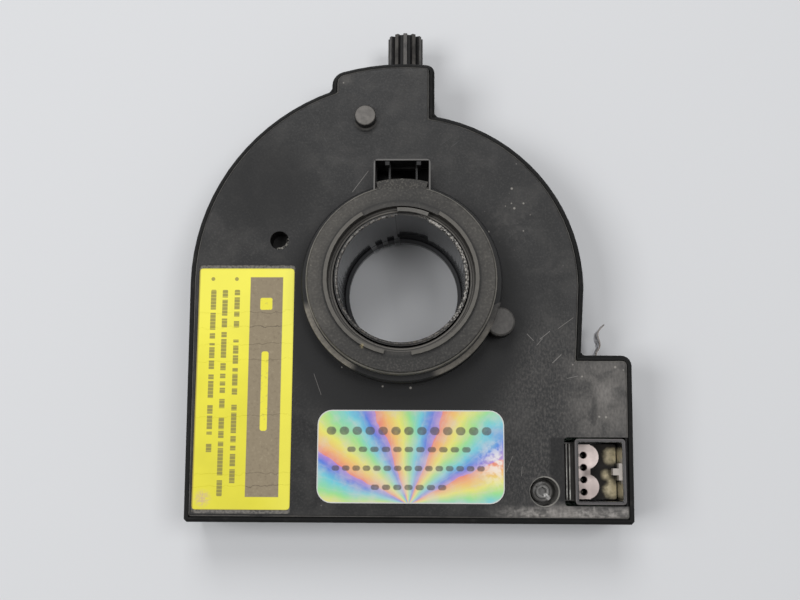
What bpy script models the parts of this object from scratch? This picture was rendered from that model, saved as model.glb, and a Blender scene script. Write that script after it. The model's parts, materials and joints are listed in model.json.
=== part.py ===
"""Steering angle sensor: a flat moulded case with a ring hub and a slotted disc that turns inside.

The bore axis is the vertical axis of the model. The part lies on the pads of its rear case.
Lengths below are in millimetres and angles in degrees. MM turns them into Blender's metres.
"""
import math

import bmesh
import bpy

MM = 0.001

# Clearances
GAP = 0.3
LABEL_GAP = 0.1
BITE = 0.6

# Rotor
BORE_RADIUS = 13.25
TUBE_WALL = 0.75
TUBE_FOOT = 0.6
TUBE_SUNK = 0.5
TUBE_RIM = 0.45
TUBE_STEP = 0.5
TUBE_EDGE = 0.15
KEYWAY_START = 64.6
KEYWAY_END = 96.4
KEYWAY_CUT = 0.4
KEYWAY_INSET = 0.6
KEYWAY_DEPTH = 20.6
KEY_SEAT = 0.9
KEY_RIM = 0.8
KEY_RIM_FLOOR = 0.4
KEY_RIM_DROP = 1.0
KEY_RIM_RISE = 0.7
KEY_RIM_INSET = 3.0
LIP_REACH = 0.95
LIP_HEIGHT = 1.4
LIP_RISE = 2.6
LIP_NOTCHES = ((94.0, 99.5), (106.0, 111.5), (118.0, 124.0))
FLANGE_REACH = 6.0
FLANGE_THICK = 1.2

# Hub ring
LEDGE_WIDTH = 1.0
RIDGE_WIDTH = 0.8
RIDGE_HEIGHT = 0.8
RIDGE_ARCS = ((121.0, 257.5), (278.0, 420.0))
RING_BAND = 3.7
RING_HEIGHT = 3.6
RING_FLAT_DEPTH = 0.85
RING_EDGE = 0.45
SPIGOT_WALL = 2.8

# Outline of the case, seen from the front with the bore axis at the origin
LEFT_RADIUS = 46.0
LEFT_RISE = 1.1
LEFT_LEAN = 0.4
RIGHT_RADIUS = 39.0
STEP_LEAN = 0.9
TAB_RISE = 4.6
TAB_LEFT = 15.85
TAB_RIGHT = 6.95
TAB_WIDE_CORNER = 3.2
TAB_TIGHT_CORNER = 1.9
BLOCK_STEP = 9.8
BLOCK_DROP = 14.75
BLOCK_CORNER = 2.2
BASE_DROP = 50.0
RIGHT_LEAN = 0.35
SHARP_CORNER = 0.3

# Rear case
PAD_HEIGHT = 0.8
FLOOR = 1.6
WALL = 1.5
RIM_WALL = 1.0
RIM_HEIGHT = 17.2
CASE_EDGE = 0.6
PAD_RADIUS = 3.2
PAD_INSET = 5.5
PAD_LEFT_ANGLE = 145.0
PAD_RIGHT_ANGLE = 40.0
HUB_PAD_WIDTH = 5.4
JOURNAL_WALL = 1.7
JOURNAL_HEIGHT = 4.5
POST_RADIUS = 2.9
REAR_RIB_WIDTH = 1.2
REAR_RIB_SUNK = 0.3

# Front cover
COVER_RISE = 1.2
PLATE = 1.8
COVER_EDGE = 0.35
SKIRT_WALL = 1.0
SKIRT_DEPTH = 2.0
COLLAR_STEP = 1.4
COLLAR_HEIGHT = 5.1
COLLAR_EDGE = 0.3
LOBE_RADIUS = 3.0
LOBE_OFFSET = 1.1
LOBE_ANGLE = -22.1
LOBE_STEP = 0.15
STAKE_RADIUS = 2.35
STAKE_HEIGHT = 2.2
STAKE_EDGE = 0.25
STAKE_X = -8.2
STAKE_INSET = 8.6
BLIND_HOLE_RADIUS = 2.05
BLIND_HOLE_DEPTH = 4.6
BLIND_HOLE_X = -26.6
BLIND_HOLE_Y = 9.9
BLIND_WALL = 1.2

# Open pocket between the hub and its frame
FRAME_HALF_WIDTH = 6.1
FRAME_DEPTH = 5.3
FRAME_WALL = 0.4
FRAME_CORNER = 0.9
FRAME_HEIGHT = 5.5
FRAME_EDGE = 0.08
POCKET_INSET = 0.1
RIB_WIDTH = 0.4
RIB_LEFT = -2.7
RIB_RIGHT = 3.1
RIB_DROP = 2.4
RIB_PAD = 0.9

# Slotted disc and what clamps it
DISC_MARGIN = 2.5
DISC_THICK = 0.4
SLOT_COUNT = 36
SLOT_WIDTH = 2.6
SLOT_LENGTH = 3.2
SLOT_MARGIN = 1.2
INDEX_INSET = 8.0
INDEX_WIDTH = 1.8
INDEX_SWEEP = 70.0
RETAINER_REACH = 4.3
RETAINER_THICK = 1.2
WASHER_REACH = 3.9
WASHER_THICK = 0.5

# Circuit board and its light barriers
BOARD_THICK = 1.6
BOARD_TOP_REACH = 2.5
BOARD_BITE_REACH = 5.3
BOARD_STANDOFF = 0.9
BOARD_MARGIN = 0.7
BOARD_HOLE = 1.5
BARRIER_ANGLES = (221.0, 262.0, 305.0)
BARRIER_WIDTH = 5.6
BARRIER_OVERLAP = 6.0
BARRIER_SLOT_REACH = 1.2
BARRIER_REACH = 4.6
BARRIER_HEIGHT = 9.8
BARRIER_SLOT = 4.4

# Connector
SHELL_INSET = 2.15
SHELL_WIDTH = 10.5
SHELL_RISE = 4.05
SHELL_LENGTH = 13.55
SHELL_WALL = 0.7
SHELL_CORNER = 0.7
SHELL_EDGE = 0.12
SHELL_PROUD = 0.15
SHELL_FLOOR = 2.0
LATCH_WIDTH = 1.9
RAIL_OFFSETS = (1.6, 0.95)
RAIL_WIDTH = 0.3
RAIL_MARGIN = 1.0
RAIL_DROP = 1.2
RAIL_HEIGHT = 1.5
KEY_DEPTH = 0.75
KEY_HEIGHT = 3.5
KEY_NUB = 1.2
KEY_NUB_HEIGHT = 1.4
KEY_LENGTH = 6.0
PIN_PITCH = 2.55
PIN_COUNT = 4
PIN_SIZE = 0.64
PIN_INSET = 2.2
PIN_DROP = 0.4
PIN_HOLE = 0.75
PIN_SUNK = 2.6
BLOCK_WIDTH = 2.6
BLOCK_SUNK = 3.2
LUG_RADIUS = 2.6
LUG_INSET = 1.8
LUG_SPACING = 6.2

# Ribbed peg on the upper edge
PEG_RADIUS = 4.0
PEG_TEETH = 12
PEG_TOOTH = 0.85
PEG_TIP_SHARE = 0.38
PEG_ROOT_SHARE = 0.62
PEG_LENGTH = 8.8
PEG_X = 0.3
PEG_Z = 8.5
PEG_SHANK = 2.6
PEG_HEAD = 1.2

# Earth spring behind the block: its bends, measured from the corner where the block begins
SPRING_THICK = 0.25
SPRING_WIDTH = 5.2
SPRING_BENDS = ((3.3, -7.25), (3.3, 0.85), (4.2, 2.85), (3.8, 5.55), (5.2, 7.45))

# Labels
LABEL_INSET = 2.3
LABEL_WIDTH = 20.5
LABEL_TOP = 3.7
LABEL_RISE = 2.65
LABEL_THICK = 0.15
LABEL_CORNER = 0.7
RECESS_SIDE = 0.15
RECESS_END = 0.8
RECESS_DEPTH = 0.3
LABEL_SPACING = 5.6
FOIL_WIDTH = 39.1
FOIL_LENGTH = 19.3
FOIL_RISE = 4.1
FOIL_CORNER = 3.1

# Screws
SCREW_HEAD = 2.3
SCREW_HEAD_HEIGHT = 1.5
SCREW_CROWN = 1.4
SCREW_CHEEK = 0.9
SCREW_SHANK = 1.15
SCREW_SOCKET = 1.0
SCREW_SOCKET_DEPTH = 0.9
SUNK_RADIUS = 2.95
SUNK_DEPTH = 5.0
SUNK_WALL = 1.0
SUNK_FLOOR = 1.4
SUNK_INSET = 6.5
SUNK_RISE = 6.7

# Parts soldered to the board: outside sizes, and places measured from the case's left side and base
CHIP_SIZE = (10.0, 10.0, 1.6)
CHIP_PLACE = (52.4, 9.2)
AMPLIFIER_SIZE = (3.9, 4.9, 1.5)
AMPLIFIER_PLACE = (11.9, 11.0)
REGULATOR_SIZE = (6.1, 6.6, 2.3)
REGULATOR_PLACE = (65.0, 8.9)
RESONATOR_SIZE = (3.8, 7.4, 2.4)
RESONATOR_PLACE = (32.9, 14.0)
RESONATOR_EDGE = 0.4
CAPACITOR_PLACE = (7.0, 19.5)
CAPACITOR_RADIUS = 3.15
CAPACITOR_HEIGHT = 7.0
CAPACITOR_EDGE = 0.4
CAPACITOR_GROOVE = 1.6
CAPACITOR_GROOVE_DEPTH = 0.35
LEAD_WIDTH = 0.4
LEAD_REACH = 0.8
LEAD_SPAN = 0.86
BOARD_SCREW_PLACES = ((6.4, 29.0), (30.4, 5.4), (77.9, 28.5))
BOARD_SCREW_TURN = 25.0

# Fineness of round shapes
ARC_ERROR = 0.03
FINE_STEPS = 60
INNER_STEPS = 48
WASHER_STEPS = 36
SMALL_STEPS = 20
HOLE_STEPS = 14

# Radii worked out from the sizes above
TUBE_RADIUS = BORE_RADIUS + TUBE_WALL
HUB_BORE = TUBE_RADIUS + GAP
RIDGE_INNER = HUB_BORE + LEDGE_WIDTH
RIDGE_OUTER = RIDGE_INNER + RIDGE_WIDTH
RING_RADIUS = RIDGE_OUTER + RING_BAND
RING_FLAT = RING_RADIUS - RING_FLAT_DEPTH
SPIGOT_RADIUS = HUB_BORE + SPIGOT_WALL
COLLAR_RADIUS = RING_RADIUS + COLLAR_STEP
FRAME_REACH = COLLAR_RADIUS + FRAME_DEPTH
DISC_RADIUS = RIGHT_RADIUS - WALL - DISC_MARGIN
TAB_RADIUS = LEFT_RADIUS + TAB_RISE
BLOCK_REACH = RIGHT_RADIUS + BLOCK_STEP

# Places worked out from the sizes above
SHELL_RIGHT = BLOCK_REACH - SHELL_INSET
SHELL_LEFT = SHELL_RIGHT - SHELL_WIDTH
SHELL_BOTTOM = -BASE_DROP + SHELL_RISE
SHELL_TOP = SHELL_BOTTOM + SHELL_LENGTH
SHELL_MIDDLE = (SHELL_TOP + SHELL_BOTTOM) / 2
SUNK_PLACE = (SHELL_LEFT - SUNK_INSET, -BASE_DROP + SUNK_RISE)
STAKE_PLACE = (STAKE_X, LEFT_RADIUS - STAKE_INSET)
BLIND_PLACE = (BLIND_HOLE_X, BLIND_HOLE_Y)
LABEL_LEFT = -LEFT_RADIUS + LABEL_INSET
LABEL_RIGHT = LABEL_LEFT + LABEL_WIDTH
LABEL_BOTTOM = -BASE_DROP + LABEL_RISE
FOIL_LEFT = LABEL_RIGHT + LABEL_SPACING
FOIL_BOTTOM = -BASE_DROP + FOIL_RISE
BOARD_SCREWS = [(x - LEFT_RADIUS, y - BASE_DROP) for x, y in BOARD_SCREW_PLACES]
SPRING_ROUTE = [(x + RIGHT_RADIUS, y - BLOCK_DROP) for x, y in SPRING_BENDS]

# Levels worked out from the sizes above
FLOOR_TOP = PAD_HEIGHT + FLOOR
FLOOR_MIDDLE = PAD_HEIGHT + FLOOR / 2
FACE = RIM_HEIGHT + COVER_RISE
PLATE_LOW = FACE - PLATE
PLATE_MIDDLE = FACE - PLATE / 2
COVER_INSET = RIM_WALL + GAP
COLLAR_TOP = FACE + COLLAR_HEIGHT
RING_LOW = COLLAR_TOP + GAP
RING_TOP = RING_LOW + RING_HEIGHT
TUBE_TOP = RING_TOP - TUBE_SUNK
LEDGE_TOP = TUBE_TOP - KEY_RIM_DROP - GAP
JOURNAL_TOP = FLOOR_TOP + JOURNAL_HEIGHT
WASHER_LOW = JOURNAL_TOP + GAP
FLANGE_LOW = WASHER_LOW + WASHER_THICK + GAP
FLANGE_TOP = FLANGE_LOW + FLANGE_THICK
DISC_LOW = FLANGE_TOP + LABEL_GAP
DISC_TOP = DISC_LOW + DISC_THICK
RETAINER_LOW = DISC_TOP + LABEL_GAP
RETAINER_TOP = RETAINER_LOW + RETAINER_THICK
SPIGOT_LOW = RETAINER_TOP + GAP
BOARD_LOW = FLOOR_TOP + BOARD_STANDOFF + GAP
BOARD_HIGH = BOARD_LOW + BOARD_THICK
PART_LOW = BOARD_HIGH + GAP
SHELL_HIGH = FACE + SHELL_PROUD
KEY_LOW = SHELL_HIGH - KEY_LENGTH
WELL_LOW = FACE - SUNK_DEPTH - SUNK_FLOOR
PEG_START = TAB_RADIUS + GAP
PEG_TIP = PEG_START + PEG_LENGTH

# Middle of the part's box, which the world origin stands under
MIDDLE_X = (BLOCK_REACH - LEFT_RADIUS) / 2
MIDDLE_Y = (PEG_TIP - BASE_DROP) / 2


def clear_scene():
    for item in list(bpy.data.objects):
        bpy.data.objects.remove(item, do_unlink=True)
    for group in list(bpy.data.collections):
        bpy.data.collections.remove(group)


def make_material(name, colour, roughness, metallic=0.0):
    material = bpy.data.materials.new(name)
    material.use_nodes = True
    shader = material.node_tree.nodes["Principled BSDF"]
    shader.inputs["Base Color"].default_value = (*colour, 1.0)
    shader.inputs["Roughness"].default_value = roughness
    shader.inputs["Metallic"].default_value = metallic
    material.diffuse_color = (*colour, 1.0)
    return material


clear_scene()
PARTS = bpy.data.collections.new("steering_angle_sensor")
CUTTERS = bpy.data.collections.new("cutters")
bpy.context.scene.collection.children.link(PARTS)
bpy.context.scene.collection.children.link(CUTTERS)

BLACK_PLASTIC = make_material("black_plastic", (0.03, 0.03, 0.031), 0.55)
HUB_PLASTIC = make_material("hub_plastic", (0.06, 0.06, 0.058), 0.6)
ROTOR_PLASTIC = make_material("rotor_plastic", (0.012, 0.012, 0.013), 0.2)
BLOCK_PLASTIC = make_material("block_plastic", (0.35, 0.29, 0.29), 0.35)
CHIP_PLASTIC = make_material("chip_plastic", (0.02, 0.02, 0.02), 0.45)
BOARD_GREEN = make_material("board_green", (0.02, 0.12, 0.05), 0.4)
SPRING_STEEL = make_material("spring_steel", (0.6, 0.58, 0.55), 0.25, 1.0)
SCREW_STEEL = make_material("screw_steel", (0.4, 0.4, 0.42), 0.35, 1.0)
TIN_PLATE = make_material("tin_plate", (0.7, 0.68, 0.62), 0.25, 1.0)
CAN_ALUMINIUM = make_material("can_aluminium", (0.75, 0.76, 0.78), 0.3, 1.0)
YELLOW_PAPER = make_material("yellow_paper", (0.86, 0.72, 0.11), 0.5)
SILVER_FOIL = make_material("silver_foil", (0.7, 0.75, 0.78), 0.2, 0.8)

ROOT = bpy.data.objects.new("sensor_root", None)
ROOT.location = (-MIDDLE_X * MM, -MIDDLE_Y * MM, 0)
PARTS.objects.link(ROOT)
AXLE = bpy.data.objects.new("rotor_axis", None)
AXLE.parent = ROOT
PARTS.objects.link(AXLE)


def place(name, mesh, material=None, parent=ROOT):
    """Make an object of a mesh: a part if it has a material, and else a cutter."""
    thing = bpy.data.objects.new(name, mesh)
    thing.parent = parent
    if material is None:
        thing.hide_render = True
        thing.display_type = "WIRE"
        CUTTERS.objects.link(thing)
        return thing
    mesh.materials.clear()
    mesh.materials.append(material)
    mesh.shade_smooth()
    mesh.set_sharp_from_angle(angle=math.radians(32))
    PARTS.objects.link(thing)
    return thing


def evaluated_mesh(thing):
    graph = bpy.context.evaluated_depsgraph_get()
    graph.update()
    return bpy.data.meshes.new_from_object(thing.evaluated_get(graph))


def arc(radius, start, end, centre=(0.0, 0.0)):
    """Points along an arc, both ends included. Their chords stay within ARC_ERROR of it."""
    step = math.degrees(2 * math.acos(1 - min(ARC_ERROR / radius, 1)))
    steps = max(1, math.ceil(abs(end - start) / step))
    angles = (math.radians(start + (end - start) * index / steps) for index in range(steps + 1))
    return [(centre[0] + radius * math.cos(a), centre[1] + radius * math.sin(a)) for a in angles]


def circle(radius, centre=(0.0, 0.0), steps=SMALL_STEPS):
    turn = [2 * math.pi * step / steps for step in range(steps)]
    return [(centre[0] + radius * math.cos(a), centre[1] + radius * math.sin(a)) for a in turn]


def band(inner, outer, start, end):
    """Outline of a part of a ring."""
    return arc(outer, start, end) + arc(inner, end, start)


def rounded_box(left, right, bottom, top, corner):
    points = arc(corner, 0, 90, (right - corner, top - corner))
    points += arc(corner, 90, 180, (left + corner, top - corner))
    points += arc(corner, 180, 270, (left + corner, bottom + corner))
    points += arc(corner, 270, 360, (right - corner, bottom + corner))
    return points


def case_outline(inset):
    """The case's outline, moved inwards by inset all round."""
    left = LEFT_RADIUS - inset
    right = RIGHT_RADIUS - inset
    crown = TAB_RADIUS - inset
    base = -BASE_DROP + inset
    reach = BLOCK_REACH - inset
    shoulder = -BLOCK_DROP - inset
    corner = max(BLOCK_CORNER - inset, SHARP_CORNER)
    tight = max(TAB_TIGHT_CORNER - inset, SHARP_CORNER)
    wide = max(TAB_WIDE_CORNER - inset, SHARP_CORNER)
    tab_right = TAB_RIGHT - inset
    tab_left = -TAB_LEFT + inset
    tight_x = tab_right - tight
    tight_y = math.sqrt((crown - tight) ** 2 - tight_x ** 2)
    wide_x = tab_left + wide
    wide_y = math.sqrt((crown - wide) ** 2 - wide_x ** 2)
    tight_angle = math.degrees(math.atan2(tight_y, tight_x))
    wide_angle = math.degrees(math.atan2(wide_y, wide_x))
    points = [(-left + LEFT_LEAN, base), (reach - RIGHT_LEAN, base)]
    points += arc(corner, 0, 90, (reach - corner, shoulder - corner))
    points += [(right - STEP_LEAN, shoulder)]
    points += arc(right, 0, math.degrees(math.acos(tab_right / right)))
    points += arc(tight, 0, tight_angle, (tight_x, tight_y))
    points += arc(crown, tight_angle, wide_angle)[1:-1]
    points += arc(wide, wide_angle, 180, (wide_x, wide_y))
    points += arc(left, math.degrees(math.acos(tab_left / left)), 180, (0.0, LEFT_RISE))
    return points


def weld(mesh, flatten=False):
    work = bmesh.new()
    work.from_mesh(mesh)
    bmesh.ops.remove_doubles(work, verts=work.verts, dist=0.01 * MM)
    if flatten:
        bmesh.ops.dissolve_limit(work, angle_limit=0.001, verts=work.verts, edges=work.edges)
    bmesh.ops.recalc_face_normals(work, faces=work.faces)
    work.to_mesh(mesh)
    work.free()


def prism(name, loops, low, high, material=None, parent=ROOT):
    """A flat outline, with holes where loops lie inside the first, made as thick as high minus low."""
    curve = bpy.data.curves.new(name + "_outline", "CURVE")
    curve.dimensions = "2D"
    curve.fill_mode = "BOTH"
    curve.extrude = (high - low) / 2 * MM
    for points in loops:
        spline = curve.splines.new("POLY")
        spline.points.add(len(points) - 1)
        for point, (x, y) in zip(spline.points, points):
            point.co = (x * MM, y * MM, 0, 1)
        spline.use_cyclic_u = True
    outline = bpy.data.objects.new(name + "_outline", curve)
    CUTTERS.objects.link(outline)
    mesh = evaluated_mesh(outline)
    bpy.data.objects.remove(outline, do_unlink=True)
    weld(mesh, flatten=len(loops) == 1)
    thing = place(name, mesh, material, parent)
    thing.location.z = (low + high) / 2 * MM
    return thing


def cylinder(name, radius, low, high, centre=(0.0, 0.0), steps=SMALL_STEPS, edge=0.0):
    """A round bar for a Boolean step, with its rims bevelled where edge is given."""
    work = bmesh.new()
    bmesh.ops.create_cone(
        work, cap_ends=True, segments=steps, radius1=radius * MM, radius2=radius * MM, depth=(high - low) * MM
    )
    mesh = bpy.data.meshes.new(name)
    work.to_mesh(mesh)
    work.free()
    thing = place(name, mesh)
    thing.location = (centre[0] * MM, centre[1] * MM, (low + high) / 2 * MM)
    if edge:
        round_edges(thing, edge, segments=1)
    return thing


def block(name, low, high, material=None, parent=ROOT, edge=0.0):
    """A box between two corners."""
    work = bmesh.new()
    bmesh.ops.create_cube(work, size=1.0)
    size = [(b - a) * MM for a, b in zip(low, high)]
    bmesh.ops.scale(work, vec=size, verts=work.verts)
    mesh = bpy.data.meshes.new(name)
    work.to_mesh(mesh)
    work.free()
    thing = place(name, mesh, material, parent)
    thing.location = [(a + b) / 2 * MM for a, b in zip(low, high)]
    if edge:
        round_edges(thing, edge, segments=1)
    return thing


def turned(name, profile, steps=FINE_STEPS, material=None, parent=ROOT, closed=True):
    """Turn a profile of radius and height about the vertical. It runs down its outer side."""
    mesh = bpy.data.meshes.new(name)
    count = len(profile)
    edges = [(index, index + 1) for index in range(count - 1)]
    if closed:
        edges.append((count - 1, 0))
    mesh.from_pydata([(r * MM, 0, z * MM) for r, z in profile], edges, [])
    thing = place(name, mesh, material, parent)
    screw = thing.modifiers.new("turn", "SCREW")
    screw.axis = "Z"
    screw.steps = steps
    screw.render_steps = steps
    screw.use_merge_vertices = True
    screw.merge_threshold = 0.00001
    screw.use_smooth_shade = True
    return thing


def round_edges(thing, width, segments=2):
    bevel = thing.modifiers.new("rounded_edges", "BEVEL")
    bevel.width = width * MM
    bevel.segments = segments
    bevel.limit_method = "ANGLE"
    bevel.angle_limit = math.radians(50)
    return bevel


def combine(thing, tool, operation):
    step = thing.modifiers.new(tool.name, "BOOLEAN")
    step.operation = operation
    step.solver = "EXACT"
    step.object = tool


def cut(thing, *tools):
    for tool in tools:
        combine(thing, tool, "DIFFERENCE")


def add(thing, *tools):
    for tool in tools:
        combine(thing, tool, "UNION")


def polar(radius, angle):
    return radius * math.cos(math.radians(angle)), radius * math.sin(math.radians(angle))


def corner_pads():
    """Places of the round pads under the case's corners."""
    low = -BASE_DROP + PAD_INSET
    return (
        (-LEFT_RADIUS + PAD_INSET, low),
        (BLOCK_REACH - PAD_INSET, low),
        polar(LEFT_RADIUS - PAD_INSET, PAD_LEFT_ANGLE),
        polar(RIGHT_RADIUS - PAD_INSET, PAD_RIGHT_ANGLE),
    )


def rear_supports(case):
    """The flat ring and pads that the part lies on, and the low ribs that join them."""
    pad_radius = HUB_BORE + HUB_PAD_WIDTH
    add(case, cylinder("hub_pad", pad_radius, 0, FLOOR_MIDDLE, steps=INNER_STEPS))
    for index, (x, y) in enumerate(corner_pads()):
        add(case, cylinder(f"corner_pad_{index + 1}", PAD_RADIUS, 0, FLOOR_MIDDLE, (x, y)))
        length = math.hypot(x, y)
        half = REAR_RIB_WIDTH / 2
        rib_low = (pad_radius - BITE, -half, REAR_RIB_SUNK)
        rib = block(f"rear_rib_{index + 1}", rib_low, (length - BITE, half, FLOOR_MIDDLE))
        along = rib.location.x
        angle = math.atan2(y, x)
        rib.location.x = along * math.cos(angle)
        rib.location.y = along * math.sin(angle)
        rib.rotation_euler.z = angle
        add(case, rib)


def rear_case():
    case = prism("rear_case", [case_outline(0)], PAD_HEIGHT, RIM_HEIGHT, BLACK_PLASTIC)
    round_edges(case, CASE_EDGE, segments=1)
    hollow = prism("case_hollow", [case_outline(WALL)], FLOOR_TOP, RIM_HEIGHT + BITE)
    seat = prism("cover_seat", [case_outline(RIM_WALL)], PLATE_LOW - GAP, RIM_HEIGHT + BITE)
    cut(case, hollow, seat)
    add(case, cylinder("journal", HUB_BORE + JOURNAL_WALL, FLOOR_MIDDLE, JOURNAL_TOP, steps=INNER_STEPS))
    rear_supports(case)
    for index, centre in enumerate(BOARD_SCREWS):
        add(case, cylinder(f"board_post_{index + 1}", POST_RADIUS, FLOOR_MIDDLE, BOARD_LOW - GAP, centre))
    add(case, cylinder("screw_post", SUNK_RADIUS + SUNK_WALL, FLOOR_MIDDLE, WELL_LOW - GAP, SUNK_PLACE))
    cut(case, cylinder("case_bore", HUB_BORE, -BITE, JOURNAL_TOP + BITE, steps=INNER_STEPS))
    pilot = SCREW_SHANK + GAP
    for index, centre in enumerate(BOARD_SCREWS):
        hole = cylinder(f"board_pilot_{index + 1}", pilot, FLOOR_MIDDLE, BOARD_LOW, centre, HOLE_STEPS)
        cut(case, hole)
    cut(case, cylinder("screw_pilot", pilot, FLOOR_TOP, WELL_LOW, SUNK_PLACE, HOLE_STEPS))
    peg_hole = cylinder("peg_hole", PEG_SHANK + GAP, -WALL - BITE, BITE + GAP)
    peg_hole.rotation_euler.x = math.radians(-90)
    peg_hole.location = (PEG_X * MM, (TAB_RADIUS - WALL / 2) * MM, PEG_Z * MM)
    cut(case, peg_hole)
    slot_half = SPRING_THICK / 2 + GAP
    spring_x = SPRING_ROUTE[0][0]
    slot_low = (spring_x - slot_half, -BLOCK_DROP - WALL - BITE, PART_LOW - GAP)
    slot_high = (spring_x + slot_half, -BLOCK_DROP + BITE, PART_LOW + SPRING_WIDTH + GAP)
    cut(case, block("spring_slot", slot_low, slot_high))
    return case


def hub_frame(cover):
    """The thin frame, ribs and open pocket above the hub."""
    start = RING_FLAT + GAP
    half = FRAME_HALF_WIDTH
    inner = half - FRAME_WALL
    top = FACE + FRAME_HEIGHT
    outside = arc(FRAME_CORNER, 0, 90, (half - FRAME_CORNER, FRAME_REACH - FRAME_CORNER))
    outside += arc(FRAME_CORNER, 90, 180, (-half + FRAME_CORNER, FRAME_REACH - FRAME_CORNER))
    inside_reach = FRAME_REACH - FRAME_WALL
    walls = [(half, start)] + outside + [(-half, start), (-inner, start), (-inner, inside_reach)]
    walls += [(inner, inside_reach), (inner, start)]
    frame = prism("frame_walls", [walls], PLATE_MIDDLE, top)
    round_edges(frame, FRAME_EDGE, segments=1)
    add(cover, frame)
    edge = COLLAR_RADIUS + POCKET_INSET
    pocket_half = inner - POCKET_INSET
    pocket_reach = inside_reach - POCKET_INSET
    sweep = math.degrees(math.asin(pocket_half / edge))
    pocket = arc(edge, 90 - sweep, 90 + sweep)
    pocket += [(-pocket_half, pocket_reach), (pocket_half, pocket_reach)]
    cut(cover, prism("frame_pocket", [pocket], PLATE_LOW - BITE, FACE + BITE))
    for name, x, side in (("left_rib", RIB_LEFT, -1), ("right_rib", RIB_RIGHT, 1)):
        low = (x - RIB_WIDTH / 2, edge - BITE, PLATE_LOW)
        high = (x + RIB_WIDTH / 2, inside_reach + FRAME_WALL / 2, top - RIB_DROP)
        add(cover, block(name, low, high))
        pad_low = (min(x, x + side * RIB_PAD), inside_reach - RIB_PAD, FACE)
        pad_high = (max(x, x + side * RIB_PAD), inside_reach + FRAME_WALL / 2, top - GAP)
        add(cover, block(name + "_pad", pad_low, pad_high))


def front_cover():
    cover = prism("front_cover", [case_outline(COVER_INSET)], PLATE_LOW, FACE, BLACK_PLASTIC)
    round_edges(cover, COVER_EDGE)
    skirt_outer = WALL + GAP
    skirt = [case_outline(skirt_outer), case_outline(skirt_outer + SKIRT_WALL)]
    add(cover, prism("skirt", skirt, PLATE_LOW - SKIRT_DEPTH, PLATE_MIDDLE))
    lobe_place = polar(COLLAR_RADIUS + LOBE_OFFSET, LOBE_ANGLE)
    lobe_top = COLLAR_TOP - LOBE_STEP
    stake_top = FACE + STAKE_HEIGHT
    collar = cylinder("collar", COLLAR_RADIUS, PLATE_MIDDLE, COLLAR_TOP, steps=FINE_STEPS, edge=COLLAR_EDGE)
    lobe = cylinder("lobe", LOBE_RADIUS, PLATE_MIDDLE, lobe_top, lobe_place, SMALL_STEPS, COLLAR_EDGE)
    stake = cylinder("stake", STAKE_RADIUS, PLATE_MIDDLE, stake_top, STAKE_PLACE, SMALL_STEPS, STAKE_EDGE)
    add(cover, collar, lobe, stake)
    hub_frame(cover)
    blind_low = FACE - BLIND_HOLE_DEPTH
    boss_radius = BLIND_HOLE_RADIUS + BLIND_WALL
    add(cover, cylinder("blind_boss", boss_radius, blind_low - BLIND_WALL, PLATE_MIDDLE, BLIND_PLACE))
    add(cover, cylinder("screw_well", SUNK_RADIUS + SUNK_WALL, WELL_LOW, PLATE_MIDDLE, SUNK_PLACE))
    cut(cover, cylinder("blind_hole", BLIND_HOLE_RADIUS, blind_low, FACE + BITE, BLIND_PLACE))
    cut(cover, cylinder("well_hole", SUNK_RADIUS, FACE - SUNK_DEPTH, FACE + BITE, SUNK_PLACE))
    shank_hole = SCREW_SHANK + GAP
    cut(cover, cylinder("well_floor_hole", shank_hole, WELL_LOW - BITE, FACE, SUNK_PLACE, HOLE_STEPS))
    bore = cylinder("collar_bore", SPIGOT_RADIUS + GAP, PLATE_LOW - BITE, COLLAR_TOP + BITE, steps=FINE_STEPS)
    cut(cover, bore)
    window = rounded_box(
        SHELL_LEFT - LATCH_WIDTH - GAP, BLOCK_REACH + BITE, SHELL_BOTTOM - GAP, SHELL_TOP + GAP, SHELL_CORNER
    )
    cut(cover, prism("connector_window", [window], PLATE_LOW - SKIRT_DEPTH - BITE, FACE + BITE))
    recess = rounded_box(
        LABEL_LEFT - RECESS_SIDE,
        LABEL_RIGHT + RECESS_SIDE,
        LABEL_BOTTOM - RECESS_END,
        LABEL_TOP + RECESS_END,
        LABEL_CORNER,
    )
    cut(cover, prism("label_recess", [recess], FACE - RECESS_DEPTH, FACE + BITE))
    return cover


def hub_ring():
    profile = [
        (RING_RADIUS - RING_EDGE, RING_TOP),
        (RING_RADIUS, RING_TOP - RING_EDGE),
        (RING_RADIUS, RING_LOW),
        (SPIGOT_RADIUS, RING_LOW),
        (SPIGOT_RADIUS, SPIGOT_LOW),
        (HUB_BORE, SPIGOT_LOW),
        (HUB_BORE, LEDGE_TOP),
        (RIDGE_INNER, LEDGE_TOP),
        (RIDGE_INNER, RING_TOP),
    ]
    ring = turned("hub_ring", profile, material=HUB_PLASTIC)
    for index, (start, end) in enumerate(RIDGE_ARCS):
        ridge = [band(RIDGE_INNER + POCKET_INSET / 2, RIDGE_OUTER, start, end)]
        add(ring, prism(f"ridge_{index + 1}", ridge, RING_TOP - RIDGE_HEIGHT, RING_TOP + RIDGE_HEIGHT))
    flat_low = (-RING_RADIUS, RING_FLAT, RING_LOW - BITE)
    flat_high = (RING_RADIUS, RING_RADIUS + BITE, RING_TOP + BITE)
    cut(ring, block("ring_flat", flat_low, flat_high))
    return ring


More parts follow.
